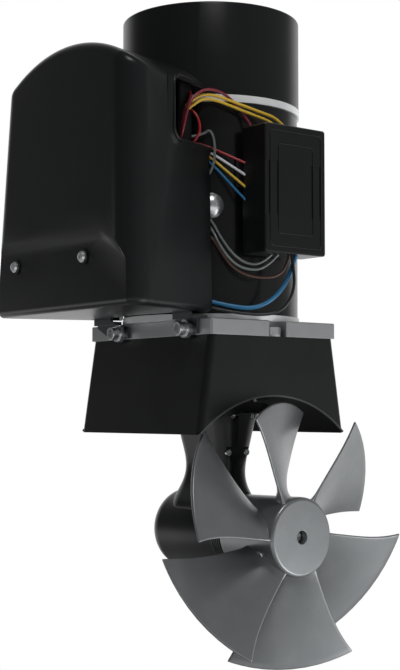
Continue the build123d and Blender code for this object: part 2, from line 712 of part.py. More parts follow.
def motor_cap():
    """Black end cap, open below."""
    z0 = BAND_Z + BAND_H
    cap = rod_z(CAP_R, z0, MOTOR_TOP_Z)
    cap = fillet(cap.edges().group_by(Axis.Z)[-1], CAP_EDGE)
    room = rod_z(CAP_R - CAP_WALL, z0 - 1, MOTOR_TOP_Z - CAP_WALL)
    room = fillet(room.edges().group_by(Axis.Z)[-1], CAP_INNER_EDGE)
    return cap - room


def field_magnets():
    """Four arc magnets bonded inside the yoke."""
    outer = YOKE_R - YOKE_WALL
    arc = ring_z(outer - MAGNET_T, outer, CORE_Z0 - 6, CORE_Z1 + 6)
    half = radians(36)
    reach = 2 * outer
    wedge = Pos(0, 0, CORE_Z0 - 10) * extrude(
        Polygon((0, 0), (reach * cos(half), -reach * sin(half)), (reach * cos(half), reach * sin(half)), align=None),
        amount=CORE_Z1 - CORE_Z0 + 20,
    )
    return around_z(arc & wedge, 4, 45)


def armature_core():
    """Slotted lamination stack."""
    core = ring_z(MOTOR_BEARING[0], CORE_R, CORE_Z0, CORE_Z1)
    slot = block(CORE_R - 15, CORE_R + 2, -1.4, 1.4, CORE_Z0 - 1, CORE_Z1 + 1)
    slot += rod_z(3.4, CORE_Z0 - 1, CORE_Z1 + 1, CORE_R - 15, 0)
    for cut in around_z(slot, CORE_SLOTS):
        core -= cut
    return core


def armature_windings():
    """End turns at both ends of the core."""
    inner = MOTOR_BEARING[0] + 10
    made = []
    for z0, z1 in ((CORE_Z0 - WINDING_H, CORE_Z0), (CORE_Z1, CORE_Z1 + WINDING_H)):
        coil = ring_z(inner, WINDING_R, z0, z1)
        far = 0 if z1 == CORE_Z0 else -1
        coil = fillet(coil.edges().group_by(Axis.Z)[far], 4.5)
        made.append(coil)
    return made


def commutator():
    """Copper bars on a moulded hub."""
    ring = ring_z(MOTOR_BEARING[0], COMMUTATOR_R, COMMUTATOR_Z0, COMMUTATOR_Z1)
    gap = block(COMMUTATOR_R - 1.0, COMMUTATOR_R + 1, -0.3, 0.3, COMMUTATOR_Z0 - 1, COMMUTATOR_Z1 + 1)
    for cut in around_z(gap, COMMUTATOR_BARS, 180 / COMMUTATOR_BARS):
        ring -= cut
    return ring


def armature_shaft():
    """Shaft from the coupling to the upper bearing."""
    r = MOTOR_BEARING[0]
    start = COUPLING_Z + COUPLING_JAW_L / 2 + 0.4
    step = PLATE_TOP_Z - 4
    end = UPPER_SEAT_Z + MOTOR_BEARING[2] + 1
    return turned_z([(0, start), (ARMATURE_END_R, start), (ARMATURE_END_R, step), (r, step), (r, end), (0, end)])


def brush_ring():
    """Moulded ring under the upper shield with four brush boxes."""
    top = UPPER_SEAT_Z - 2.5
    inner, outer = COMMUTATOR_R + 3, YOKE_R - YOKE_WALL - 1
    ring = ring_z(inner, outer, COMMUTATOR_Z1 + 0.5, top)
    low = COMMUTATOR_Z1 - 1.5 - BRUSH_H
    box = block(inner, outer - 6, -BRUSH_W / 2 - 2, BRUSH_W / 2 + 2, low - 2, COMMUTATOR_Z1 + 0.5)
    slot = block(inner - 5, outer - 8, -BRUSH_W / 2, BRUSH_W / 2, low, low + BRUSH_H)
    for item in around_z(box, BRUSHES, 45):
        ring += item
    for cut in around_z(slot, BRUSHES, 45):
        ring -= cut
    return ring


def brushes():
    """Four carbon brushes against the commutator."""
    low = COMMUTATOR_Z1 - 1.5 - BRUSH_H
    gap = 0.1
    brush = block(
        COMMUTATOR_R - 1,
        COMMUTATOR_R + BRUSH_L,
        -BRUSH_W / 2 + gap,
        BRUSH_W / 2 - gap,
        low + gap,
        low + BRUSH_H - gap,
    )
    brush -= rod_z(COMMUTATOR_R + 0.08, 0, 400)
    return around_z(brush, BRUSHES, 45)


def brush_springs():
    """Bowed leaf springs behind the brushes."""
    low = COMMUTATOR_Z1 - 1.5 - BRUSH_H
    start = COMMUTATOR_R + BRUSH_L + 0.05
    end = YOKE_R - YOKE_WALL - 1 - 8 - 0.1
    half = BRUSH_W / 2 - 0.5
    rear = end - SPRING_T
    bend = [(rear - (rear - start) * (1 - (y / half) ** 2), y) for y in (half * k / 4 for k in range(-4, 5))]
    outline = [(x + SPRING_T, y) for x, y in bend] + bend[::-1]
    leaf = Pos(0, 0, low + 2) * extrude(Polygon(*outline, align=None), amount=BRUSH_H - 4)
    return around_z(leaf, BRUSHES, 45)


# ================================================================ propeller
def between(pair, r):
    """Value at radius r of something given at the root radius and at the tip."""
    return pair[0] + (pair[1] - pair[0]) * (r - ROOT_R) / (PROP_R - ROOT_R)


def blade_surface(height, share):
    """A point of the blade's middle surface in the plane at a height, as (across, x).

    share runs from 0 on the leading edge to 1 on the trailing edge.
    """
    middle = (LEAD_ANGLE[1] + TRAIL_ANGLE[1]) / 2

    def edge(xs, angles):
        r = height
        for _ in range(12):
            turn = radians(between(angles, r) - middle)
            r = height / cos(turn)
        return turn, between(xs, r)

    turn0, x0 = edge(LEAD_X, LEAD_ANGLE)
    turn1, x1 = edge(TRAIL_X, TRAIL_ANGLE)
    turn = turn0 + (turn1 - turn0) * share
    return height * tan(turn), x0 + (x1 - x0) * share


def blade_section(height, mid_t):
    """A closed section of the blade in the plane at a height above the shaft."""
    shares = (0, 0.25, 0.5, 0.75, 1)
    line = [blade_surface(height, share) for share in shares]
    front, back = [], []
    for k, (s, x) in enumerate(line):
        a, b = line[max(k - 1, 0)], line[min(k + 1, len(line) - 1)]
        ds, dx = b[0] - a[0], b[1] - a[1]
        size = hypot(ds, dx)
        half = (BLADE_EDGE_T + (mid_t - BLADE_EDGE_T) * (1 - (2 * shares[k] - 1) ** 2)) / 2
        front.append((s - dx / size * half, x + ds / size * half))
        back.append((s + dx / size * half, x - ds / size * half))
    plane = Plane(origin=(0, 0, height), x_dir=(0, -1, 0), z_dir=(0, 0, 1))
    outline = [Spline(*front), Line(front[-1], back[-1]), Spline(*reversed(back)), Line(back[0], front[0])]
    return plane * make_face(outline)


def blade():
    """One blade standing on +Z, cut to the propeller's circle."""
    body = loft([blade_section(h, t) for h, t in BLADE_ROWS])
    return body & rod_x(PROP_R, 40, 130)


# height of each blade section and its thickness in the middle
BLADE_ROWS = ((22.0, 8.5), (32.0, 6.6), (42.0, 5.5), (55.0, 4.6), (68.0, 3.9), (80.0, 3.4), (95.0, 2.8))
PROP_SHAFT_END = 86.0
PROP_SCREW_SEAT = 89.0
PIN_X, PIN_R, PIN_L = 49.0, 2.5, 34.0


def propeller():
    """Moulded propeller: hub with six skewed blades, bored for the shaft, pin and screw."""
    body = turned_x(
        [
            (HUB_X0, 0),
            (HUB_X0, HUB_REAR_R),
            (HUB_X1 - HUB_EDGE, HUB_FRONT_R),
            (HUB_X1 - 0.3 * HUB_EDGE, HUB_FRONT_R - 0.3 * HUB_EDGE),
            (HUB_X1, HUB_FRONT_R - HUB_EDGE),
            (HUB_X1, 0),
        ]
    )
    one = blade()
    middle = (LEAD_ANGLE[1] + TRAIL_ANGLE[1]) / 2 - 90
    for k in range(BLADES):
        body += Rot(middle + 360 * k / BLADES, 0, 0) * one
    body -= rod_x(PROP_SHAFT_R + SLIP_FIT, HUB_X0 - 1, PROP_SHAFT_END + FACE_GAP)
    body -= rod_x(PROP_SCREW_R / 2 + BOLT_GAP + 0.5, PROP_SHAFT_END, PROP_SCREW_SEAT + 1)
    body -= rod_x(PROP_SCREW_HOLE_R, PROP_SCREW_SEAT, HUB_X1 + 20)
    pin = block(HUB_X0 - 1, PIN_X, -PIN_L / 2 - 0.5, PIN_L / 2 + 0.5, -PIN_R - SLIP_FIT, PIN_R + SLIP_FIT)
    body -= pin + rod_y(PIN_R + SLIP_FIT, -PIN_L / 2 - 0.5, PIN_L / 2 + 0.5, PIN_X)
    return body


def prop_shaft():
    """Propeller shaft from the rear bearing into the hub."""
    shaft = rod_x(PROP_SHAFT_R, PROP_BEARING_X[0] - 1.5, PROP_SHAFT_END)
    shaft = chamfer(shaft.edges().group_by(Axis.X)[-1], 0.8)
    shaft -= rod_x(PROP_SCREW_R / 2 + 0.5, PROP_SHAFT_END - 16, PROP_SHAFT_END + 1)
    return shaft - rod_y(PIN_R, -20, 20, PIN_X)


def prop_screw():
    """Socket screw in the front of the hub."""
    length = PROP_SCREW_SEAT - PROP_SHAFT_END + 14
    return facing(PROP_SCREW_SEAT, 0, 0, (1, 0, 0)) * cap_screw(PROP_SCREW_R / 2 + 0.5 - 0.02, length, 5.0)


def drive_pin():
    """Cross pin that drives the hub."""
    return rod_y(PIN_R - 0.02, -PIN_L / 2, PIN_L / 2, PIN_X)


# ================================================================ contactor gear
def cover_outline(z, inset=0.0):
    """Plan outline of the cover at a height; its sides flare downwards."""
    share = (COVER_EAVE_Z - z) / (COVER_EAVE_Z - COVER_FLOOR_Z)
    left = COVER_X0 - (COVER_FLARE_INNER if inset else COVER_FLARE_LEFT) * share
    right = COVER_X1 + COVER_FLARE_RIGHT * share
    lean = side_lean()
    side = inset * sqrt(1 + lean * lean)
    front = COVER_FRONT_Y + (inset + COVER_RECESS if inset else 0)
    shift = front - COVER_FRONT_Y
    run = COVER_REAR_Y - COVER_FRONT_Y
    points = [
        (left + side + lean * shift, front),
        (right - side - lean * shift, front),
        (right - side - lean * run, COVER_REAR_Y),
        (left + side + lean * run, COVER_REAR_Y),
    ]
    corner = COVER_CORNER - inset
    sketch = Polygon(*points, align=None)
    front_corners = sketch.vertices().sort_by(Axis.Y)[:2]
    return Pos(0, 0, z) * fillet(front_corners, corner)


def side_lean():
    """How far the side walls close in for each millimetre towards the motor."""
    return (COVER_X1 - COVER_SIDE_END[0]) / (COVER_SIDE_END[1] - COVER_FRONT_Y)


COVER_FLARE_LEFT, COVER_FLARE_RIGHT = 19.0, 3.0
COVER_FLARE_INNER = 16.0
COVER_RECESS = 3.0
COVER_CORNER = 14.0
COVER_MID_X = (COVER_X0 + COVER_X1) / 2
COVER_ARCH_R = 155.0
COVER_REAR_DROP = 3.0  # the crown is this much lower at the motor
COVER_LIP = 5.0
COVER_FLOOR_REAR_Y = -66.0
TAB_X, TAB_HALF, TAB_T = COVER_SCREW_X, 7.0, 2.2
PANEL_Y = COVER_FRONT_Y + COVER_RECESS
COVER_INNER_Y = PANEL_Y + COVER_WALL


def vault(inset=0.0):
    """The tapering vault that closes the cover, down to well under its floor."""
    sections = []
    for y, drop in ((COVER_FRONT_Y - 10, 0.0), (COVER_REAR_Y + 2, COVER_REAR_DROP)):
        half = (COVER_X1 - COVER_X0) / 2 - side_lean() * (y - COVER_FRONT_Y)
        crown = COVER_CROWN_Z - drop
        rise = COVER_ARCH_R - sqrt(COVER_ARCH_R**2 - (COVER_X1 - COVER_MID_X) ** 2)
        r = (half**2 + rise**2) / (2 * rise)
        wide = half + VAULT_OVERLAP
        low = crown - (r - sqrt(r**2 - wide**2)) - inset
        left, right = COVER_MID_X - wide, COVER_MID_X + wide
        bow = ThreePointArc((left, low), (COVER_MID_X, crown - inset), (right, low))
        lines = Polyline((right, low), (right + 60, low), (right + 60, 0), (left - 60, 0), (left - 60, low), (left, low))
        plane = Plane(origin=(0, y, 0), x_dir=(1, 0, 0), z_dir=(0, -1, 0))
        sections.append(plane * make_face([bow, *lines.edges()]))
    return loft(sections, ruled=True)


VAULT_OVERLAP = 6.0


def side_place(t, z):
    """A place on the slanted side wall, t of the way to its rear end, Z pointing outwards."""
    (x1, y1), x0, y0 = COVER_SIDE_END, COVER_X1, COVER_FRONT_Y
    run = hypot(x1 - x0, y1 - y0)
    normal = ((y1 - y0) / run, (x0 - x1) / run, 0)
    along = ((x1 - x0) / run, (y1 - y0) / run, 0)
    origin = (x0 + (x1 - x0) * t, y0 + (y1 - y0) * t, z)
    return Plane(origin=origin, x_dir=along, z_dir=normal).location


def lower_step():
    """What is taken off the outer form below the bulge: in front and on the left."""
    top_out, top_in = PANEL_TOP_Z, PANEL_SHELF_Z
    ramp_out, ramp_in = PANEL_RAMP_Z, PANEL_RAMP_Z - 7
    sections = []
    for y, top, ramp, x in (
        (COVER_FRONT_Y - 1, top_out + 1, ramp_out + 1, 1.0),
        (PANEL_Y, top_in, ramp_in, -4.0),
    ):
        step = [(-130, 100), (150, 100), (150, ramp - 45), (PANEL_RAMP_X1 + x, ramp), (PANEL_RAMP_X0 + x, top), (-130, top)]
        plane = Plane(origin=(0, y, 0), x_dir=(1, 0, 0), z_dir=(0, -1, 0))
        sections.append(plane * Polygon(*step, align=None))
    cut = loft(sections, ruled=True) + block(-130, 150, COVER_FRONT_Y - 30, COVER_FRONT_Y - 1, 100, ramp_in - 60)
    side = [(-130, 100), (COVER_STEP_X, 100), (COVER_STEP_X, COVER_STEP_Z), (-93, COVER_STEP_Z + 7), (-130, COVER_STEP_Z + 7)]
    plane = Plane(origin=(0, COVER_REAR_Y + 5, 0), x_dir=(1, 0, 0), z_dir=(0, -1, 0))
    cut += extrude(plane * Polygon(*side, align=None), amount=COVER_REAR_Y + 5 - COVER_FRONT_Y + 20)
    r, x, y = STEP_CORNER, COVER_STEP_X, PANEL_Y
    corner = block(x - 5, x + r, y - 5, y + r, 100, COVER_STEP_Z) - rod_z(r, 90, COVER_STEP_Z + 1, x + r, y + r)
    return cut + corner


STEP_CORNER = 9.0


def solenoid_cover():
    """Moulded hood: flared sides, vaulted top, let-in lower panel and a wire window."""
    high = COVER_CROWN_Z + 8
    outer = loft([cover_outline(COVER_FLOOR_Z), cover_outline(high)]) & vault()
    top = outer.faces().filter_by(GeomType.PLANE, reverse=True).sort_by(Axis.Z)[-1]
    outer = fillet([e for e in top.edges() if e.center().Y < COVER_SIDE_END[1] + 11], COVER_EAVE_R)
    outer -= lower_step()
    bottom = outer.faces().sort_by(Axis.Z)[0]
    outer = fillet([e for e in bottom.edges() if e.center().Y < COVER_SIDE_END[1] + 11], COVER_FOOT_R)
    cavity = loft([cover_outline(COVER_FLOOR_Z + COVER_WALL, COVER_WALL), cover_outline(high, COVER_WALL)])
    cavity &= vault(COVER_WALL)
    mouth = loft([cover_outline(COVER_FLOOR_Z - 1, COVER_LIP), cover_outline(COVER_FLOOR_Z + 6, COVER_LIP)])
    mouth &= block(-200, 200, COVER_FLOOR_REAR_Y, 0, 0, 400)
    cover = outer
    width, height = WINDOW_L, WINDOW_Z1 - WINDOW_Z0
    place = side_place(WINDOW_START, (WINDOW_Z0 + WINDOW_Z1) / 2) * Pos(width / 2, 0, 0)
    lip = extrude(place * Pos(0, 0, -3) * RectangleRounded(width + 12, height + 12, 11), amount=3.6)
    lip += loft(
        [
            place * Pos(0, 0, 0.6) * RectangleRounded(width + 12, height + 12, 11),
            place * Pos(0, 0, WINDOW_LIP) * RectangleRounded(width + 5, height + 5, 9),
        ]
    )
    cover += lip & vault()
    cover -= extrude(place * Pos(0, 0, -12) * RectangleRounded(width, height, 7), amount=24)
    for x in COVER_SCREW_X:
        cover += rod_y(5.5, PANEL_Y - 1.0, PANEL_Y + 1, x, COVER_SCREW_Z)
    cover = cover - cavity - mouth - rod_z(COVER_BACK_R, 0, 400)
    for x in COVER_SCREW_X:
        cover -= rod_y(COVER_SCREW_R + BOLT_GAP, PANEL_Y - 5, COVER_INNER_Y + 1, x, COVER_SCREW_Z)
    return max(cover.solids(), key=lambda s: s.volume)


COVER_EAVE_R, COVER_FOOT_R = 7.0, 4.5
WINDOW_L = 60.0
WINDOW_LIP = 2.4
COVER_SCREW_R = 2.0


def pan_screws():
    """Pan-head screws: two hold the cover on the bracket's tabs, four hold the box's lid."""
    large = pan_screw(COVER_SCREW_R - 0.02, 1.0 + COVER_WALL + TAB_T + 4)
    small = pan_screw(1.48, 10)
    made = [facing(x, PANEL_Y - 1.0, COVER_SCREW_Z, (0, -1, 0)) * large for x in COVER_SCREW_X]
    return made + [facing(BOX_X0 + LID_SCREW_SINK, y, z, (-1, 0, 0)) * small for y, z in LID_SCREW_SITES]


SHELF_T = 2.2
SHELF_Z0 = COVER_FLOOR_Z + COVER_WALL + 0.3
RISER_Y = -63.0  # the sheet steps up here from the plate to the shelf


def solenoid_bracket():
    """Folded steel sheet: shelf under the contactors, two ears, two flanges and two tabs."""
    top = SHELF_Z0 + SHELF_T
    edge = -PLATE_Y / 2
    shelf = extrude(cover_outline(SHELF_Z0, COVER_LIP + 0.5), amount=SHELF_T)
    shelf &= block(-200, 200, -200, RISER_Y + SHELF_T, 0, 400)
    shelf -= rod_z(SHIELD_R + 0.6, SHELF_Z0 - 9, 400)
    upright = Plane(origin=(0, edge, 0), x_dir=(1, 0, 0), z_dir=(0, -1, 0))
    for ear, flange in zip(EARS, FLANGES):
        x0, x1 = ear[0][0], ear[1][0]
        shelf += extrude(Pos(0, 0, PLATE_TOP_Z) * Polygon(*ear, align=None), amount=SHELF_T)
        shelf += extrude(upright * Polygon(*flange, align=None), amount=BRACKET_T)
        shelf += block(x0, x1, RISER_Y, edge - BRACKET_T + 0.5, PLATE_TOP_Z, PLATE_TOP_Z + SHELF_T)
        shelf += block(x0, x1 - 4.5, RISER_Y, RISER_Y + SHELF_T, PLATE_TOP_Z, top)
    for x in TAB_X:
        x0, x1 = x - TAB_HALF, x + TAB_HALF
        shelf += block(x0, x1, COVER_INNER_Y, COVER_INNER_Y + 12, SHELF_Z0, top)
        shelf += block(x0, x1, COVER_INNER_Y, COVER_INNER_Y + TAB_T, SHELF_Z0 + 1, COVER_SCREW_Z + 8)
    for x in EDGE_SCREW_X:
        shelf -= rod_y(EDGE_SCREW_R + 0.2, edge - BRACKET_T - 1, edge + 1, x, EDGE_SCREW_Z)
    for x in COVER_SCREW_X:
        shelf -= rod_y(COVER_SCREW_R, COVER_INNER_Y - 1, COVER_INNER_Y + 10, x, COVER_SCREW_Z)
    return shelf


# ears in plan and flanges seen along Y, both clear of the motor's lower shield
EAR_FRONT, EAR_REAR = -PLATE_Y / 2 - BRACKET_T, -PLATE_Y / 2 + 7.0
EARS = (
    ((-61.0, EAR_FRONT), (-34.5, EAR_FRONT), (-34.5, -56.4), (-43.2, EAR_REAR), (-61.0, EAR_REAR)),
    ((36.0, EAR_FRONT), (60.0, EAR_FRONT), (60.0, EAR_REAR), (43.2, EAR_REAR), (36.0, -55.4)),
)
FLANGE_FOOT, FLANGE_HEAD = SADDLE_TOP_Z + 0.6, PLATE_TOP_Z + SHELF_T
FLANGES = (
    (
        (-61.0, FLANGE_HEAD),
        (-61.0, FLANGE_HEAD - 4),
        (-44.0, FLANGE_FOOT),
        (-22.0, FLANGE_FOOT),
        (-22.0, PLATE_TOP_Z - 2),
        (-34.5, PLATE_TOP_Z - 0.6),
        (-34.5, FLANGE_HEAD),
    ),
    (
        (36.0, FLANGE_HEAD),
        (36.0, FLANGE_HEAD - 4),
        (38.0, FLANGE_FOOT),
        (59.0, FLANGE_FOOT),
        (60.0, FLANGE_HEAD - 4),
        (60.0, FLANGE_HEAD),
    ),
)

CONTACTOR_X = (-24.0, 30.0)
CONTACTOR_Y = -98.0
CONTACTOR = (40.0, 46.0, 56.0)


def contactors():
    """Two moulded changeover contactors standing on the shelf."""
    lx, ly, lz = CONTACTOR
    z0 = SHELF_Z0 + SHELF_T
    made = []
    for x in CONTACTOR_X:
        body = Pos(x, CONTACTOR_Y, z0 + lz / 2) * Box(lx, ly, lz)
        body = fillet(body.edges().filter_by(Axis.Z), 4)
        body = chamfer(body.faces().sort_by(Axis.Z)[-1].edges(), 1.5)
        for side in (-1, 1):
            rib = block(x - 1.5, x + 1.5, CONTACTOR_Y - ly / 2 + 4, CONTACTOR_Y + ly / 2 - 4, z0 + lz - 1, z0 + lz + 10)
            body += rib
            body += rod_z(7, z0 + lz - 1, z0 + lz + 1.5, x + side * 10.5, CONTACTOR_Y)
            body -= rod_z(2.9, z0 + lz - 12, z0 + lz + 12, x + side * 10.5, CONTACTOR_Y)
        for k in range(4):
            z = z0 + 10 + 9 * k
            body -= block(x - lx, x + lx, CONTACTOR_Y - 12, CONTACTOR_Y + 12, z, z + 3) - block(
                x - lx / 2 + 1.2, x + lx / 2 - 1.2, -200, 0, 0, 400
            )
        made.append(body)
    return made


def contactor_studs():
    """Four brass studs with nuts on the contactors."""
    top = SHELF_Z0 + SHELF_T + CONTACTOR[2] + 1.5
    made = []
    for x in CONTACTOR_X:
        for side in (-1, 1):
            at = Pos(x + side * 10.5, CONTACTOR_Y, top)
            nut = extrude(Pos(0, 0, BAR_T) * RegularPolygon(5.2, 6), amount=4.5)
            made.append(at * (rod_z(2.88, -12, 16) + nut))
    return made


BAR_T = 2.0


def contactor_bars():
    """Copper bars: one joins the two contactors, one leads to the motor's terminal."""
    top = SHELF_Z0 + SHELF_T + CONTACTOR[2] + 1.5
    x0, x1 = CONTACTOR_X[0] + 10.5, CONTACTOR_X[1] - 10.5
    bar = block(x0 - 6, x1 + 6, CONTACTOR_Y - 5, CONTACTOR_Y + 5, top, top + BAR_T)
    for x in (x0, x1):
        bar -= rod_z(3.0, top - 1, top + 5, x, CONTACTOR_Y)
    made = [bar]
    for x in (CONTACTOR_X[0] - 10.5, CONTACTOR_X[1] + 10.5):
        lug = block(x - 6, x + 6, CONTACTOR_Y - 5, CONTACTOR_Y + 18, top, top + BAR_T)
        lug += block(x - 6, x + 6, CONTACTOR_Y + 16, CONTACTOR_Y + 18, top, top + 14)
        made.append(lug - rod_z(3.0, top - 1, top + 5, x, CONTACTOR_Y))
    return made


def wiring_duct():
    """Upright trunking that gathers the wires behind the cover."""
    x, y = DUCT_XY
    half = DUCT_W / 2
    duct = block(x - half, x + half, y - half, y + half, SHELF_Z0 + SHELF_T, DUCT_TOP_Z)
    duct = chamfer(duct.edges().filter_by(Axis.Z), 1.2)
    foot = block(x - half, x + half, y - half - 6, y - half + 1, SHELF_Z0 + SHELF_T, SHELF_Z0 + SHELF_T + 2.5)
    return duct + foot


DUCT_XY = (44.0 * YOKE_SHARE, -62.0 * YOKE_SHARE)
DUCT_W, DUCT_TOP_Z = 12.0, 312.0


# ================================================================ control box
def control_box():
    """Sealed electronics case, open at the front under its lid."""
    box = block(BOX_X0, BOX_X1 - LID_T, BOX_Y0, BOX_Y1, BOX_Z0, BOX_Z1)
    box = fillet(box.edges().filter_by(Axis.X), 2.0)
    room = block(
        BOX_X0 + BOX_WALL, BOX_X1, BOX_Y0 + BOX_WALL, BOX_Y1 - BOX_WALL, BOX_Z0 + BOX_WALL, BOX_Z1 - BOX_WALL
    )
    box -= room
    for y, z in LID_SCREW_SITES:
        box -= rod_x(1.75, BOX_X0 - 1, BOX_X1, y, z)
        box -= rod_x(3.1, BOX_X0 - 1, BOX_X0 + LID_SCREW_SINK, y, z)
    return box


LID_SCREW_SINK = 1.0
LID_SCREW_SITES = [(y, z) for y in (BOX_Y0 + 5.6, BOX_Y1 - 5.6) for z in (BOX_Z0 + 5.6, BOX_Z1 - 5.6)]


def control_box_lid():
    """Front lid with a shallow bare label field."""
    lid = block(BOX_X1 - LID_T, BOX_X1, BOX_Y0, BOX_Y1, BOX_Z0, BOX_Z1)
    lid = fillet(lid.edges().filter_by(Axis.X), 2.0)
    lid = chamfer(lid.faces().sort_by(Axis.X)[-1].edges(), 0.8)
    for y, z in LID_SCREW_SITES:
        lid += rod_x(2.7, BOX_X0 + BOX_WALL + 0.3, BOX_X1 - LID_T + 0.5, y, z)
        lid -= rod_x(1.5, BOX_X0, BOX_X0 + 14, y, z)
    field = extrude(
        Plane(origin=(BOX_X1 - 0.4, (BOX_Y0 + BOX_Y1) / 2, (BOX_Z0 + BOX_Z1) / 2), z_dir=(1, 0, 0))
        * RectangleRounded(BOX_Y1 - BOX_Y0 - 19, BOX_Z1 - BOX_Z0 - 16, 2),
        amount=1,
    )
    return lid - field


def circuit_board():
    """Printed board with parts inside the control box."""
    x = BOX_X0 + BOX_WALL + 5
    y0, y1 = BOX_Y0 + BOX_WALL + 0.6, BOX_Y1 - BOX_WALL - 0.6
    z0, z1 = BOX_Z0 + 9, BOX_Z1 - 9
    board = block(x, x + 1.6, y0, y1, z0, z1)
    board += block(x + 1.5, x + 9.6, y0 + 6, y0 + 22, z1 - 24, z1 - 4)
    board += block(x + 1.5, x + 9.6, y0 + 27, y0 + 43, z1 - 24, z1 - 4)
    board += block(x + 1.5, x + 3.0, y0 + 18, y0 + 30, z0 + 18, z0 + 30)
    for k in range(4):
        board += rod_x(3.2, x + 1, x + 9.6, y0 + 7 + 11 * k, z0 + 8)
        board += rod_x(2.5, BOX_X0 + BOX_WALL, x + 0.5, y0 + 5 + (k % 2) * 38, z0 + 4 + (k // 2) * 60)
    return board


def control_box_bracket():
    """Bent strap between the motor and the back of the control box."""
    strap = ring_z(YOKE_R, YOKE_R + 2.0, STRAP_Z0, STRAP_Z1)
    strap &= block(45, 80, -STRAP_HALF, STRAP_HALF, 0, 400)
    back = block(BOX_X0 - 2.2, BOX_X0, BOX_Y0 + 4, BOX_Y1 - 4, STRAP_Z0, STRAP_Z1)
    web = block(YOKE_R - 4, BOX_X0 - 1, -9, 9, STRAP_Z0, STRAP_Z1) - rod_z(YOKE_R, 0, 400)
    return strap + back + web


STRAP_Z0, STRAP_Z1, STRAP_HALF = 242.0, 262.0, 26.0


# ================================================================ wires
def wire(diameter, points):
    """A wire along straight runs joined by the widest arcs that fit, and its bend radii."""
    points = [(x * YOKE_SHARE, y * YOKE_SHARE, z) for x, y, z in points]
    radii = []
    for a, b, c in zip(points, points[1:], points[2:]):
        u, v = Vector(*b) - Vector(*a), Vector(*c) - Vector(*b)
        half_turn = radians(u.get_angle(v)) / 2
        radii.append(0.45 * min(u.length, v.length) / tan(half_turn))
    path = FilletPolyline(*points, radius=radii)
    section = Plane(origin=path @ 0, z_dir=path % 0) * Circle(diameter / 2)
    return sweep(section, path=path), min(radii), path.length


FAN_Y = -57.0
# diameter and route of every wire; both ends are let in a little
FAN = {
    "wire_fan_red": (272.0, 257.3),
    "wire_fan_white": (269.8, 248.9),
    "wire_fan_yellow": (267.6, 240.6),
    "wire_fan_blue": (265.4, 231.5),
}
FAN_PLAN = ((47.5, FAN_Y, 0.0), (48.5, -49.5, 0.02), (55.0, -41.0, 0.28), (63.5, -35.0, 0.62), (71.5, -26.2, 1.0))
WIRES = {
    name: (1.8, [(x, y, start + (end - start) * share) for x, y, share in FAN_PLAN])
    for name, (start, end) in FAN.items()
}
WIRES["wire_yellow_upper"] = (
    2.2,
    [
        (49.2, -62.0, 296.5),
        (53.2, -55.5, 302.8),
        (54.9, -48.8, 305.6),
        (58.9, -41.6, 304.6),
        (63.2, -33.3, 301.6),
        (71.7, -16.0, 295.2),
        (78.0, 0.0, 290.2),
        (80.5, 5.5, 280.6),
    ],
)
WIRES["wire_yellow_lower"] = (
    2.2,
    [
        (49.2, -62.0, 292.8),
        (53.4, -55.7, 299.4),
        (55.1, -48.8, 302.4),
        (59.0, -41.6, 301.2),
        (63.3, -33.3, 298.0),
        (70.6, -18.6, 292.2),
        (76.3, -4.4, 287.4),
        (78.6, 0.8, 280.6),
    ],
)
WIRES["wire_maroon"] = (
    2.0,
    [
        (49.2, -66.8, 270.5),
        (54.2, -67.2, 280.0),
        (54.9, -65.0, 292.0),
        (55.2, -60.0, 302.5),
        (57.0, -50.5, 308.8),
        (59.8, -40.5, 308.2),
        (60.6, -30.2, 303.6),
        (66.2, -22.0, 292.2),
        (71.2, -18.5, 280.6),
    ],
)
WIRES["wire_red_near"] = (
    1.8,
    [(49.2, -58.0, 307.5), (52.2, -59.8, 302.0), (52.2, -64.4, 292.0), (51.6, -66.4, 281.5), (49.2, -66.2, 275.2)],
)
WIRES["wire_red_far"] = (
    1.8,
    [(49.2, -57.2, 294.5), (53.2, -56.0, 291.5), (56.2, -54.6, 284.5), (55.6, -54.2, 275.5), (49.2, -59.0, 267.5)],
)
WIRES["wire_grey_loop"] = (
    1.8,
    [
        (48.8, FAN_Y, 275.6),
        (52.0, -48.5, 277.6),
        (56.4, -46.4, 281.0),
        (58.6, -44.2, 275.5),
        (59.0, -43.4, 266.0),
        (57.2, -43.0, 257.0),
        (52.4, -43.2, 249.8),
        (48.8, -48.8, 246.4),
        (47.5, FAN_Y, 245.0),
    ],
)
WIRES["wire_grey_upper"] = (
    1.8,
    [
        (47.5, FAN_Y, 227.0),
        (49.5, -48.7, 225.0),
        (54.2, -42.6, 218.0),
        (59.4, -39.6, 207.0),
        (64.4, -32.8, 194.5),
        (70.0, -24.8, 187.4),
        (75.4, -15.0, 187.2),
        (80.0, -7.3, 196.3),
    ],
)
WIRES["wire_grey_lower"] = (
    1.8,
    [
        (47.5, FAN_Y, 222.5),
        (49.2, -49.2, 220.0),
        (53.8, -42.2, 212.6),
        (60.4, -41.2, 201.0),
        (65.4, -35.0, 189.5),
        (70.6, -27.0, 183.4),
        (77.0, -12.8, 183.6),
        (81.3, -3.2, 196.3),
    ],
)
WIRES["wire_brown"] = (
    1.8,
    [
        (47.5, FAN_Y, 214.5),
        (49.2, -48.5, 212.5),
        (54.2, -42.0, 206.0),
        (59.6, -38.4, 195.5),
        (64.2, -31.8, 184.6),
        (69.5, -23.6, 179.5),
        (75.0, -14.8, 177.8),
        (80.0, -5.8, 178.8),
        (82.4, 1.0, 184.6),
        (82.2, 4.6, 196.3),
    ],
)
WIRES["wire_blue_power"] = (
    3.0,
    [
        (47.0, FAN_Y, 166.0),
        (48.9, -47.8, 163.2),
        (55.2, -39.0, 160.6),
        (64.0, -30.4, 157.8),
        (71.5, -20.5, 156.6),
        (76.8, -10.5, 160.7),
        (80.9, -2.2, 169.0),
        (83.8, 4.6, 182.0),
        (84.6, 9.0, 196.3),
    ],
)
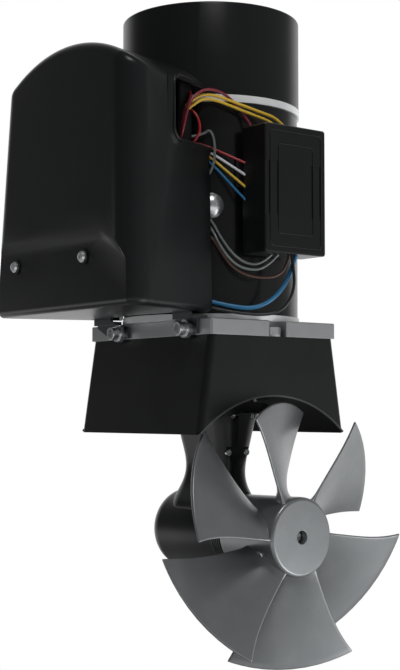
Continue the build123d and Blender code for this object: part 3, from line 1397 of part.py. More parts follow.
WIRES["wire_black"] = (
    2.2,
    [
        (47.0, FAN_Y, 160.6),
        (49.2, -48.0, 158.8),
        (56.0, -38.6, 156.0),
        (66.6, -26.6, 153.2),
        (76.3, -12.8, 152.0),
        (83.0, -3.5, 155.0),
        (86.6, 2.0, 163.5),
        (87.6, 4.5, 174.0),
        (86.5, 4.4, 185.0),
        (84.8, 4.0, 196.3),
    ],
)

# ================================================================ export
PARTS = [
    tunnel_saddle,
    motor_plate,
    plate_edge_screws,
    slot_bolts,
    socket_bolts,
    gear_leg,
    gear_leg_rear,
    leg_screws,
    ribbed_collar,
    ball_bearings,
    shaft_seals,
    motor_lower_shield,
    motor_yoke,
    motor_upper_shield,
    motor_cap,
    field_magnets,
    terminal_bolt,
    brush_ring,
    brushes,
    brush_springs,
    solenoid_cover,
    pan_screws,
    solenoid_bracket,
    contactors,
    contactor_studs,
    contactor_bars,
    wiring_duct,
    control_box,
    control_box_lid,
    circuit_board,
    control_box_bracket,
    armature_shaft,
    armature_core,
    armature_windings,
    commutator,
    coupling_upper_hub,
    coupling_spider,
    coupling_lower_hub,
    drive_shaft,
    bevel_pinion,
    bevel_gear,
    prop_shaft,
    propeller,
    prop_screw,
    drive_pin,
]


def save(name, made):
    """Write one node's STEP file."""
    if isinstance(made, (list, tuple)):
        made = made[0] if len(made) == 1 else Compound(children=list(made))
    export_step(made, f"parts/{name}.step")
    return made


def main():
    """Build every node."""
    os.makedirs("parts", exist_ok=True)
    for build in PARTS:
        made = save(build.__name__, build())
        print(f"{build.__name__:22s} solids {len(made.solids()):3d}  volume {made.volume:12.1f}")
    for name, (diameter, points) in WIRES.items():
        made, least, length = wire(diameter, points)
        save(name, made)
        full = pi * diameter**2 / 4 * length
        print(f"{name:22s} length {length:6.1f}  least bend {least:5.1f}  volume {made.volume / full:.4f} of full")


main()
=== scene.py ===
"""Dress the bow thruster: finishes, smooth copies of its solids, the propeller, small trim, wires and a studio."""

import json
import logging
import math
from dataclasses import dataclass
from enum import Enum
from typing import Iterable, Sequence

import bmesh
import bpy
from mathutils import Matrix, Vector

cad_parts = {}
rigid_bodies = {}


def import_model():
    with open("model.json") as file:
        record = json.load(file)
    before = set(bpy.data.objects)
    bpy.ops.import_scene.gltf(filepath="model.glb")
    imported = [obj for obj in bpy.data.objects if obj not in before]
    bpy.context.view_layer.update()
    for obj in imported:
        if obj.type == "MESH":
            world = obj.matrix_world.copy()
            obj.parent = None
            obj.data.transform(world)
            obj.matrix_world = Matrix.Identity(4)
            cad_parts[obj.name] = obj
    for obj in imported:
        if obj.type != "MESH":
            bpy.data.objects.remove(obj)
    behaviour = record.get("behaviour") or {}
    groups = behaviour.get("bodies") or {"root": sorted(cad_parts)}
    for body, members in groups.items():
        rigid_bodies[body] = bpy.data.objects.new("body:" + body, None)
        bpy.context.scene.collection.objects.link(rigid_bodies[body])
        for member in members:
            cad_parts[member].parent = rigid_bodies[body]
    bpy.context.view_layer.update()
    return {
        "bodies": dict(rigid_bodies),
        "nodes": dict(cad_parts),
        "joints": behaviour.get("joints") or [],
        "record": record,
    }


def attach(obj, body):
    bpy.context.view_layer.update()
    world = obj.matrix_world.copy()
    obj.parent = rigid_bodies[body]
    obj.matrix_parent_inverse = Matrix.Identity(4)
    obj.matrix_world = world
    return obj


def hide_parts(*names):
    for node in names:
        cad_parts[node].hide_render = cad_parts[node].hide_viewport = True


LOG = logging.getLogger("bow_thruster")
MM = 0.001  # metres in a millimetre; sizes below are in millimetres unless they say otherwise
MERGE = 1e-6  # metres within which two corners are one
HARD_EDGE = 32.0  # degrees above which an edge of a machined or moulded piece stays crisp
SOFT_EDGE = 50.0  # the same for rounded pieces
CLOUD_SCALE = 38.0  # soft clouds in colour and gloss, for each metre
CLOUD_SHARE = 0.5  # the clouds' share in the gloss; the rest is the fine pattern
NOISE_LOW, NOISE_HIGH = 0.3, 0.7  # the range that most of a noise keeps within
LONG_MARK, ROUND_MARK, GROUND_MARK = 0.03, 0.02, 0.3  # scale along the tool's path against that across it
FRAME: dict = {}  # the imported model, once it is loaded

Pair = tuple[float, float]
Point = tuple[float, float, float]
Colour = tuple[float, float, float, float]
Mesh = bpy.types.Mesh
Object = bpy.types.Object
NodeTree = bpy.types.NodeTree


class Body(Enum):
    """The bodies that turn apart from one another."""

    FRAME = "frame"
    ARMATURE = "armature"
    PROPELLER = "propeller"


class Grain(Enum):
    """How a surface was made, which sets the pattern of its relief."""

    MOULDED = "moulded"
    CAST = "cast"
    BRUSHED_X = "brushed along X"
    TURNED_X = "turned about X"
    TURNED_Z = "turned about Z"
    GROUND = "ground"
    SMOOTH = "smooth"


def linear(hex_colour: str) -> Colour:
    """Turn an sRGB hex colour to linear light.

    Args:
        hex_colour: Six hex digits, with or without a hash.

    Returns:
        Red, green, blue and a full alpha.
    """
    digits = hex_colour.lstrip("#")
    levels = [int(digits[i : i + 2], 16) / 255 for i in (0, 2, 4)]
    red, green, blue = (v / 12.92 if v <= 0.04045 else ((v + 0.055) / 1.055) ** 2.4 for v in levels)
    return (red, green, blue, 1.0)


def add(tree: NodeTree, kind: str, inputs: dict | None = None, **settings: object) -> bpy.types.Node:
    """Add a node to a tree.

    Args:
        tree: The shader or geometry tree.
        kind: The node's type name.
        inputs: Input name or number to a value, or to an output socket that is linked to it.
        settings: Attributes of the node.

    Returns:
        The new node.
    """
    node = tree.nodes.new(kind)
    for key, value in settings.items():
        setattr(node, key, value)
    for key, value in (inputs or {}).items():
        socket = node.inputs[key]
        if isinstance(value, bpy.types.NodeSocket):
            tree.links.new(value, socket)
        else:
            socket.default_value = value
    return node


@dataclass(frozen=True)
class Finish:
    """One real surface: what it is made of and how it was made.

    Args:
        name: Plain name of the material.
        slot: The record's material slot; not used.
        colour: Main colour.
        shade: Second colour, mixed in by a soft pattern.
        grain: The pattern of the relief.
        pitch: Size of the relief's features.
        relief: Height of the relief.
        roughness: Mean roughness.
        spread: How far the roughness wanders.
        metallic: Whether it is bare metal.
        ior: Index of refraction of a non-metal.
        shine: Specular level of a non-metal; half is a clean moulded face.
    """

    name: str
    slot: str
    colour: str
    shade: str
    grain: Grain
    pitch: float
    relief: float
    roughness: float
    spread: float
    metallic: float = 0.0
    ior: float = 1.5
    shine: float = 0.5

    def stretch(self) -> Point:
        """Scale of the fine pattern, drawn out along the tool's marks.

        Returns:
            The scale along each axis.
        """
        fine = 1 / (self.pitch * MM)
        return {
            Grain.BRUSHED_X: (fine * LONG_MARK, fine, fine),
            Grain.TURNED_X: (fine, fine * ROUND_MARK, fine * ROUND_MARK),
            Grain.TURNED_Z: (fine * ROUND_MARK, fine * ROUND_MARK, fine),
            Grain.GROUND: (fine * GROUND_MARK, fine, fine),
        }.get(self.grain, (fine, fine, fine))

    def material(self) -> bpy.types.Material:
        """Build the material once.

        Returns:
            The material, new or built before.
        """
        made = bpy.data.materials.get(self.name)
        if made:
            return made
        made = bpy.data.materials.new(self.name)
        made.use_nodes = True
        tree = made.node_tree
        tree.nodes.clear()
        place = add(tree, "ShaderNodeTexCoord").outputs["Object"]
        clouds = {"Vector": place, "Scale": CLOUD_SCALE, "Detail": 4.0, "Roughness": 0.6}
        wide = add(tree, "ShaderNodeTexNoise", clouds)
        fine_place = add(tree, "ShaderNodeMapping", {"Vector": place, "Scale": self.stretch()})
        marks = {"Vector": fine_place.outputs["Vector"], "Scale": 1.0, "Detail": 3.0, "Roughness": 0.55}
        fine = add(tree, "ShaderNodeTexNoise", marks)
        colours = {0: wide.outputs["Fac"], 6: linear(self.colour), 7: linear(self.shade)}
        tone = add(tree, "ShaderNodeMix", colours, data_type="RGBA")
        patterns = {0: CLOUD_SHARE, 2: fine.outputs["Fac"], 3: wide.outputs["Fac"]}
        both = add(tree, "ShaderNodeMix", patterns, data_type="FLOAT")
        gloss = {"Value": both.outputs[0], "From Min": NOISE_LOW, "From Max": NOISE_HIGH}
        gloss |= {"To Min": self.roughness - self.spread, "To Max": self.roughness + self.spread}
        rough = add(tree, "ShaderNodeMapRange", gloss)
        height = {"Height": fine.outputs["Fac"], "Strength": 1.0, "Distance": self.relief * MM}
        relief = add(tree, "ShaderNodeBump", height)
        looks = {"Base Color": tone.outputs[2], "Roughness": rough.outputs["Result"]}
        looks |= {"Metallic": self.metallic, "Normal": relief.outputs["Normal"]}
        skin = add(tree, "ShaderNodeBsdfPrincipled", looks)
        if not self.metallic:
            skin.inputs["IOR"].default_value = self.ior
            skin.inputs["Specular IOR Level"].default_value = self.shine
        add(tree, "ShaderNodeOutputMaterial", {"Surface": skin.outputs["BSDF"]})
        return made


# Marks of tools are drawn 0.3 to 0.5 mm apart, coarser than real ones, so that they show

# Glass-filled composite, moulded: near black, with a clear sheen and soft flow marks
COMPOSITE = Finish(
    "glass-filled composite", "black_composite", "#0B0C0D", "#111213", Grain.MOULDED,
    pitch=2.4, relief=0.01, roughness=0.34, spread=0.05, shine=0.38)
# ABS from a spark-eroded mould: black that greys softly in grazing light; its grain is drawn coarser
COVER_ABS = Finish(
    "textured ABS", "black_plastic", "#111213", "#161718", Grain.MOULDED,
    pitch=0.7, relief=0.008, roughness=0.32, spread=0.03, shine=0.28)
# The same plastic from a smoother mould: deeper black with a tighter highlight
CAP_ABS = Finish(
    "moulded ABS", "black_plastic", "#0C0D0E", "#101112", Grain.MOULDED,
    pitch=0.9, relief=0.008, roughness=0.31, spread=0.03, shine=0.35)
# The saddle's composite on the arch's inside: a shade darker, rough, almost no sheen; painted shade inside the arch
PAINTED_ARCH_SHADE = Finish(
    "composite with painted arch shade", "black_composite", "#090A0B", "#0E0F10", Grain.CAST,
    pitch=0.8, relief=0.01, roughness=0.8, spread=0.05, shine=0.1)
# Its rim: a thin pale grey line along the arch, a painted highlight on the rim's edge
PAINTED_RIM_HIGHLIGHT = Finish(
    "composite rim with painted highlight", "black_composite", "#3E4042", "#2A2C2E", Grain.CAST,
    pitch=0.8, relief=0.004, roughness=0.4, spread=0.05)
# Stove enamel on rolled steel tube: deep gloss black with long soft reflections
ENAMEL = Finish(
    "stove enamel", "black_paint", "#090A0B", "#0D0E0F", Grain.CAST,
    pitch=3.0, relief=0.008, roughness=0.24, spread=0.03, shine=0.45)
# Aluminium milled from plate: light grey, with long marks along X
PLATE = Finish(
    "milled aluminium", "plate_aluminium", "#BEC0C1", "#9C9EA0", Grain.BRUSHED_X,
    pitch=0.5, relief=0.004, roughness=0.36, spread=0.08, metallic=0.85)
# Cast aluminium turned bright: a pale ring with fine level marks
TURNED = Finish(
    "turned aluminium", "cast_aluminium", "#F0F1F2", "#DEE0E1", Grain.TURNED_Z,
    pitch=0.4, relief=0.004, roughness=0.42, spread=0.06, metallic=0.5)
# Composite with a metallic pigment, from a polished mould: mid grey with a broad soft glow
PIGMENTED = Finish(
    "pigmented composite", "prop_composite", "#8E9092", "#767A7C", Grain.CAST,
    pitch=4.0, relief=0.004, roughness=0.33, spread=0.05, metallic=0.7)
# Stainless steel, cold-headed and tumbled: small bright heads
STAINLESS = Finish(
    "stainless steel", "stainless", "#E4E5E6", "#CFD0D2", Grain.GROUND,
    pitch=0.3, relief=0.002, roughness=0.27, spread=0.04, metallic=0.85)
# Hardened bearing steel, ground: bright and even
BEARING = Finish(
    "bearing steel", "bearing_steel", "#BDBEC0", "#A9AAAC", Grain.GROUND,
    pitch=0.3, relief=0.004, roughness=0.2, spread=0.06, metallic=1.0)
# Ground steel, standing upright: bright, with hairline rings
SHAFT = Finish(
    "ground steel", "shaft_steel", "#B5B7B9", "#A3A5A7", Grain.TURNED_Z,
    pitch=0.3, relief=0.006, roughness=0.24, spread=0.06, metallic=1.0)
# The same bar lying along X, so its rings run the other way
PROP_SHAFT = Finish(
    "ground steel bar", "shaft_steel", "#B5B7B9", "#A3A5A7", Grain.TURNED_X,
    pitch=0.3, relief=0.006, roughness=0.24, spread=0.06, metallic=1.0)
# Case-hardened steel, cut and quenched: darker grey, satin
GEAR = Finish(
    "case-hardened steel", "gear_steel", "#86888A", "#6F7173", Grain.GROUND,
    pitch=0.4, relief=0.01, roughness=0.32, spread=0.08, metallic=1.0)
# Sheet steel, plated and passivated: dark grey with a dull glint
ZINC = Finish(
    "passivated sheet steel", "zinc_steel", "#5E6164", "#4A4D50", Grain.CAST,
    pitch=3.0, relief=0.006, roughness=0.38, spread=0.06, metallic=1.0)
# Nitrile rubber, moulded: dull black
NITRILE = Finish(
    "nitrile rubber", "seal_rubber", "#131313", "#1A1A1A", Grain.MOULDED,
    pitch=0.5, relief=0.02, roughness=0.6, spread=0.1)
# Cast polyurethane: dark red with a soft sheen
SPIDER = Finish(
    "red polyurethane", "spider_rubber", "#8C1D14", "#7A1810", Grain.SMOOTH,
    pitch=1.0, relief=0.01, roughness=0.45, spread=0.08)
# Sintered ferrite, as fired: matt charcoal
FERRITE = Finish(
    "sintered ferrite", "ferrite", "#2A2B2D", "#212224", Grain.CAST,
    pitch=0.5, relief=0.03, roughness=0.6, spread=0.1)
# Stamped steel sheets in a stack: grey, with their edges as fine level lines at the real pitch
LAMINATION = Finish(
    "stacked laminations", "lamination", "#6E7073", "#54565A", Grain.TURNED_Z,
    pitch=0.5, relief=0.03, roughness=0.4, spread=0.1, metallic=1.0)
# Enamelled copper wire, wound: brown copper with ridges as thick as the wire
WINDING = Finish(
    "enamelled copper", "copper", "#B4632F", "#8E4720", Grain.TURNED_Z,
    pitch=1.0, relief=0.05, roughness=0.3, spread=0.08, metallic=1.0)
# Bare copper, turned or sheared: orange-pink metal
COPPER = Finish(
    "bare copper", "copper_bar", "#C97B52", "#B0633C", Grain.GROUND,
    pitch=0.4, relief=0.01, roughness=0.28, spread=0.08, metallic=1.0)
# Brass turned from bar: yellow metal with fine rings
BRASS = Finish(
    "turned brass", "brass_stud", "#C9A55A", "#B08D45", Grain.TURNED_Z,
    pitch=0.4, relief=0.01, roughness=0.25, spread=0.06, metallic=1.0)
# Carbon pressed with copper dust: dull black
CARBON = Finish(
    "pressed carbon", "carbon", "#1B1B1D", "#232325", Grain.CAST,
    pitch=0.3, relief=0.02, roughness=0.55, spread=0.1)
# Spring steel strip: blue-grey metal
SPRING = Finish(
    "spring steel", "spring_steel", "#7C8088", "#62666E", Grain.GROUND,
    pitch=0.3, relief=0.006, roughness=0.28, spread=0.06, metallic=1.0)
# Phenolic resin, compression moulded: black with little sheen, darkened further as painted shade for the dim inside of
# the hood
PHENOLIC_AND_SHADE = Finish(
    "moulded phenolic", "moulded_black", "#08080A", "#0C0C0E", Grain.MOULDED,
    pitch=0.6, relief=0.01, roughness=0.5, spread=0.08, shine=0.25)
# Glass-epoxy board under solder mask: satin green
BOARD = Finish(
    "solder-masked board", "board_green", "#1E5B34", "#174A2A", Grain.SMOOTH,
    pitch=1.0, relief=0.02, roughness=0.35, spread=0.08)


# PVC extruded over stranded wire: plain strong colours with a waxy sheen
INSULATION = {
    shade: Finish(
        f"{shade} PVC", f"{shade}_insulation", colour, dark, Grain.SMOOTH,
        pitch=1.5, relief=0.02, roughness=0.35, spread=0.05, ior=1.53)
    for shade, colour, dark in (
        ("red", "#A3262B", "#8C1B22"),
        ("white", "#D6D8DE", "#C6C8CE"),
        ("yellow", "#D8B540", "#C4A02C"),
        ("blue", "#1F6E9A", "#175A84"),
        ("maroon", "#7C2434", "#681B2A"),
        ("grey", "#6E7472", "#5F6563"),
        ("brown", "#5A4238", "#49352D"),
        ("black", "#161617", "#1E1E20"),
    )
}

# Which nodes wear which finish in their own shape
DRESS: dict[Finish, tuple[str, ...]] = {
    COMPOSITE: ("tunnel_saddle", "gear_leg", "gear_leg_rear", "ribbed_collar"),
    COVER_ABS: ("solenoid_cover",),
    CAP_ABS: ("motor_cap", "control_box", "control_box_lid"),
    ENAMEL: ("motor_yoke",),
    PLATE: ("motor_plate",),
    TURNED: ("motor_upper_shield", "motor_lower_shield"),
    STAINLESS: (
        "plate_edge_screws", "slot_bolts", "socket_bolts", "leg_screws",
        "terminal_bolt", "pan_screws", "prop_screw", "drive_pin",
    ),
    BEARING: ("ball_bearings",),
    SHAFT: ("armature_shaft", "drive_shaft"),
    PROP_SHAFT: ("prop_shaft",),
    GEAR: ("bevel_pinion", "bevel_gear", "coupling_upper_hub", "coupling_lower_hub"),
    ZINC: ("solenoid_bracket", "control_box_bracket"),
    NITRILE: ("shaft_seals",),
    SPIDER: ("coupling_spider",),
    FERRITE: ("field_magnets",),
    LAMINATION: ("armature_core",),
    WINDING: ("armature_windings",),
    COPPER: ("commutator", "contactor_bars"),
    BRASS: ("contactor_studs",),
    CARBON: ("brushes",),
    SPRING: ("brush_springs",),
    # the duct behind the hood's window: black resin darkened as painted shade
    PHENOLIC_AND_SHADE: ("brush_ring", "contactors", "wiring_duct"),
    BOARD: ("circuit_board",),
}

# Width of their broken edges
BROKEN: dict[str, float] = {
    "motor_plate": 0.5, "tunnel_saddle": 0.9, "control_box": 0.8, "control_box_lid": 0.8, "solenoid_bracket": 0.3,
}

# Nodes that turn; all others belong to the frame
TURNING: dict[Body, tuple[str, ...]] = {
    Body.ARMATURE: (
        "armature_shaft", "armature_core", "armature_windings", "commutator", "coupling_upper_hub",
        "coupling_spider", "coupling_lower_hub", "drive_shaft", "bevel_pinion",
    ),
    Body.PROPELLER: ("bevel_gear", "prop_shaft", "propeller", "prop_screw", "drive_pin"),
}


def body_of(node: str) -> Body:
    """The body that a CAD node belongs to."""
    return next((body for body, nodes in TURNING.items() if node in nodes), Body.FRAME)


def settle(piece: Object, finish: Finish, body: Body, replaced: Iterable[str] = ()) -> Object:
    """Give a finished piece its finish, its body and the nodes that it stands for.

    Args:
        piece: The piece, in place.
        finish: Its finish.
        body: The body it moves with.
        replaced: CAD nodes that it replaces.

    Returns:
        The piece.
    """
    if piece.type == "MESH" and not piece.data.materials:
        piece.data.materials.append(finish.material())
    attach(piece, body.value)
    names = tuple(replaced)
    if names:
        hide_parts(*names)
    LOG.info("%s: %s, %s", piece.name, finish.name, body.value)
    return piece


def keep(name: str, data: bpy.types.ID) -> Object:
    """Put a mesh, curve, camera or lamp into the scene.

    Args:
        name: The object's name.
        data: What it shows.

    Returns:
        The object, at the origin.
    """
    piece = bpy.data.objects.new(name, data)
    bpy.context.collection.objects.link(piece)
    return piece


def evaluated(piece: Object) -> Mesh:
    """The plain mesh that an object comes to, with its modifiers or its curve worked out."""
    return bpy.data.meshes.new_from_object(piece.evaluated_get(bpy.context.evaluated_depsgraph_get()))


def from_work(work: bmesh.types.BMesh, name: str) -> Mesh:
    """Turn a working mesh's faces outwards and keep it.

    Args:
        work: The working mesh, which is freed.
        name: The mesh's name.

    Returns:
        The mesh.
    """
    bmesh.ops.recalc_face_normals(work, faces=work.faces)
    mesh = bpy.data.meshes.new(name)
    work.to_mesh(mesh)
    work.free()
    return mesh


def smooth_by_angle(mesh: Mesh, degrees: float = HARD_EDGE) -> None:
    """Shade a mesh smooth, except across its sharper edges.

    Args:
        mesh: The mesh, changed in place.
        degrees: The angle above which an edge stays sharp.
    """
    work = bmesh.new()
    work.from_mesh(mesh)
    bmesh.ops.remove_doubles(work, verts=work.verts, dist=MERGE)
    limit = math.radians(degrees)
    for face in work.faces:
        face.smooth = True
    for edge in work.edges:
        edge.smooth = len(edge.link_faces) == 2 and edge.calc_face_angle(0.0) < limit
    work.to_mesh(mesh)
    work.free()


def weigh_normals(piece: Object, weight: int = 60) -> None:
    """Let a piece's large faces rule its shading, so that they look flat beside rounded edges.

    Args:
        piece: The piece, whose mesh is replaced.
        weight: How far large faces outweigh small ones; 50 is neutral.
    """
    modifier = piece.modifiers.new("weight", "WEIGHTED_NORMAL")
    modifier.keep_sharp = True
    modifier.weight = weight
    mesh = evaluated(piece)
    piece.modifiers.clear()
    piece.data = mesh


@dataclass
class Arch:
    """The saddle's arch: painted shade on its inside and a painted highlight along the rim at both ends."""

    radius: float = 96.5
    foot_z: float = 69.8
    head_z: float = 137.9
    half_foot: float = 72.0
    half_head: float = 71.5
    rim_r: float = 0.75
    rim_sink: float = 0.45
    rim_end: float = 0.9  # degrees by which the rim stops short of the foot
    steps: int = 48
    slack: float = 0.6  # how far off the arch a face may lie

    def dull(self, saddle: Object) -> None:
        """Give the arch's faces a darker, duller copy of the composite: painted shade inside the arch.

        Args:
            saddle: The saddle's smooth copy.
        """
        mesh = saddle.data
        mesh.materials.append(COMPOSITE.material())
        mesh.materials.append(PAINTED_ARCH_SHADE.material())
        # the arch's inner faces take the second material, painted shade
        for face in mesh.polygons:
            at = face.center / MM
            if abs(math.hypot(at.y, at.z) - self.radius) < self.slack and at.z > self.foot_z:
                face.material_index = 1

    def build(self) -> None:
        """Lay the pale rim bead, a painted highlight, along both ends of the arch."""
        reach = math.degrees(math.acos(self.foot_z / self.radius)) - self.rim_end
        for name, side in (("front", 1), ("rear", -1)):
            points = []
            for k in range(self.steps + 1):
                a = math.radians(-reach + 2 * reach * k / self.steps)
                y, z = self.radius * math.sin(a), self.radius * math.cos(a)
                share = (z - self.foot_z) / (self.head_z - self.foot_z)
                x = self.half_foot + (self.half_head - self.half_foot) * share - self.rim_sink
                points.append((side * x, y, z))
            # the pale bead is a painted highlight along the rim's edge
            settle(bead(f"arch_rim_{name}", points, self.rim_r), PAINTED_RIM_HIGHLIGHT, Body.FRAME)


@dataclass
class SolidCopies:
    """Smooth copies of the solids that keep their own shape, some with broken edges."""

    flat: float = 0.5  # degrees below which faces join into one
    sharp: float = 40.0  # degrees above which an edge is broken

    def break_edges(self, mesh: Mesh, width_mm: float) -> None:
        """Round the sharp edges of a mesh a little.

        Args:
            mesh: The mesh, as triangles.
            width_mm: Width of the rounding.
        """
        work = bmesh.new()
        work.from_mesh(mesh)
        bmesh.ops.remove_doubles(work, verts=work.verts, dist=MERGE)
        bmesh.ops.dissolve_limit(work, angle_limit=math.radians(self.flat), verts=work.verts, edges=work.edges)
        limit = math.radians(self.sharp)
        sharp = [e for e in work.edges if len(e.link_faces) == 2 and e.calc_face_angle(0.0) > limit]
        shape = {"offset_type": "OFFSET", "segments": 2, "profile": 0.6, "affect": "EDGES", "clamp_overlap": True}
        bmesh.ops.bevel(work, geom=sharp, offset=width_mm * MM, **shape)
        bmesh.ops.triangulate(work, faces=work.faces)
        work.to_mesh(mesh)
        work.free()

    def build(self) -> None:
        """Copy, smooth and dress every listed node."""
        for finish, nodes in DRESS.items():
            for node in nodes:
                mesh = FRAME["nodes"][node].data.copy()
                mesh.materials.clear()
                if node in BROKEN:
                    self.break_edges(mesh, BROKEN[node])
                smooth_by_angle(mesh)
                piece = keep(f"{node}_dressed", mesh)
                if node in BROKEN:
                    weigh_normals(piece)
                if node == "tunnel_saddle":
                    Arch().dull(piece)
                settle(piece, finish, body_of(node), (node,))


def lathe(name: str, profile: Sequence[Pair], steps: int = 96) -> Mesh:
    """Turn a closed profile about X.

    Args:
        name: The mesh's name.
        profile: (x, radius) corners in millimetres, round the section once.
        steps: Faces round the axis.

    Returns:
        The closed mesh.
    """
    work = bmesh.new()
    rings = []
    for k in range(steps):
        a = math.tau * k / steps
        rings.append([work.verts.new((x * MM, r * MM * math.cos(a), r * MM * math.sin(a))) for x, r in profile])
    for k in range(steps):
        here, there = rings[k], rings[(k + 1) % steps]
        for i in range(len(profile)):
            j = (i + 1) % len(profile)
            work.faces.new((here[i], here[j], there[j], there[i]))
    return from_work(work, name)


def round_curve(name: str, points: Sequence[Point], radius: float, kind: str, sides: int) -> bpy.types.Curve:
    """A round curve along points.

    Args:
        name: Its name.
        points: The points.
        radius: Its radius.
        kind: The spline's type.
        sides: How finely it is rounded.

    Returns:
        The curve, capped at its ends.
    """
    curve = bpy.data.curves.new(name, "CURVE")
    curve.dimensions = "3D"
    curve.bevel_depth = radius * MM
    curve.bevel_resolution = sides
    curve.use_fill_caps = True
    spline = curve.splines.new(kind)
    spline.points.add(len(points) - 1)
    for point, at in zip(spline.points, points):
        point.co = (*(v * MM for v in at), 1.0)
    return curve


def bead(name: str, points: Sequence[Point], radius: float, closed: bool = False) -> Object:
    """A round bead along a line of points.

    Args:
        name: The piece's name.
        points: Places along the bead's middle.
        radius: Its radius.
        closed: Whether its ends meet.

    Returns:
        The bead, as a mesh at the origin.
    """
    curve = round_curve(name, points, radius, kind="POLY", sides=4)
    curve.use_fill_caps = not closed
    curve.splines[0].use_cyclic_u = closed
    source = keep(name, curve)
    mesh = evaluated(source)
    bpy.data.objects.remove(source)
    mesh.materials.clear()
    smooth_by_angle(mesh, SOFT_EDGE)
    return keep(name, mesh)


def rounded(width: float, height: float, corner: float, steps: int = 6) -> list[Pair]:
    """A rounded rectangle about its middle, counter-clockwise from the lower right.

    Args:
        width: Its width.
        height: Its height.
        corner: Radius of its corners.
        steps: Runs in each corner.

    Returns:
        Its points.
    """
    points, half_w, half_h = [], width / 2 - corner, height / 2 - corner
    for k, (x, y) in enumerate(((1, -1), (1, 1), (-1, 1), (-1, -1))):
        for i in range(steps + 1):
            a = math.radians(-90 + 90 * k + 90 * i / steps)
            points.append((x * half_w + corner * math.cos(a), y * half_h + corner * math.sin(a)))
    return points


@dataclass
class Cover:
    """The rolled lip round the front of the hood's wire window; the wall's ends are (x, y) at its top."""

    side_front: Pair = (87.0, -135.0)
    side_rear: Pair = (53.4, -45.4)
    window_start: float = 0.515  # share of the side wall in front of the window
    window_low: float = 268.5
    window_high: float = 310.0
    window_corner: float = 7.0
    window_margin: float = 1.2
    lip_low_end: float = 44.0  # how far back the lip runs, below and above
    lip_high_end: float = 20.0
    side_flare: float = 3.0  # how far the wall stands out at its foot
    side_top: float = 317.0
    side_height: float = 163.4
    proud: float = 1.9
    bead_radius: float = 1.15
    corner_steps: int = 8

    def on_side(self, u: float, z: float, out: float) -> Point:
        """A place on the slanted side wall.

        Args:
            u: Distance behind the window's front end.
            z: Height.
            out: Distance off the wall.

        Returns:
            The place.
        """
        (x0, y0), (x1, y1) = self.side_front, self.side_rear
        run = math.hypot(x1 - x0, y1 - y0)
        along, normal = ((x1 - x0) / run, (y1 - y0) / run), ((y1 - y0) / run, (x0 - x1) / run)
        flare = self.side_flare * (self.side_top - z) / self.side_height
        at = self.window_start * run + u
        return (x0 + flare + along[0] * at + normal[0] * out, y0 + along[1] * at + normal[1] * out, z)

    def build(self) -> None:
        """Lay the lip below the window, up round its front and back above it."""
        margin = self.window_margin
        c, low, high = self.window_corner + margin, self.window_low - margin, self.window_high + margin
        line = [(self.lip_low_end, low)]
        for first, middle in ((270, low + c), (180, high - c)):
            for k in range(self.corner_steps + 1):
                a = math.radians(first - 90 * k / self.corner_steps)
                line.append((-margin + c + c * math.cos(a), middle + c * math.sin(a)))
        line.append((self.lip_high_end, high))
        points = [self.on_side(u, z, self.proud) for u, z in line]
        settle(bead("cover_window_bead", points, self.bead_radius), COVER_ABS, Body.FRAME)


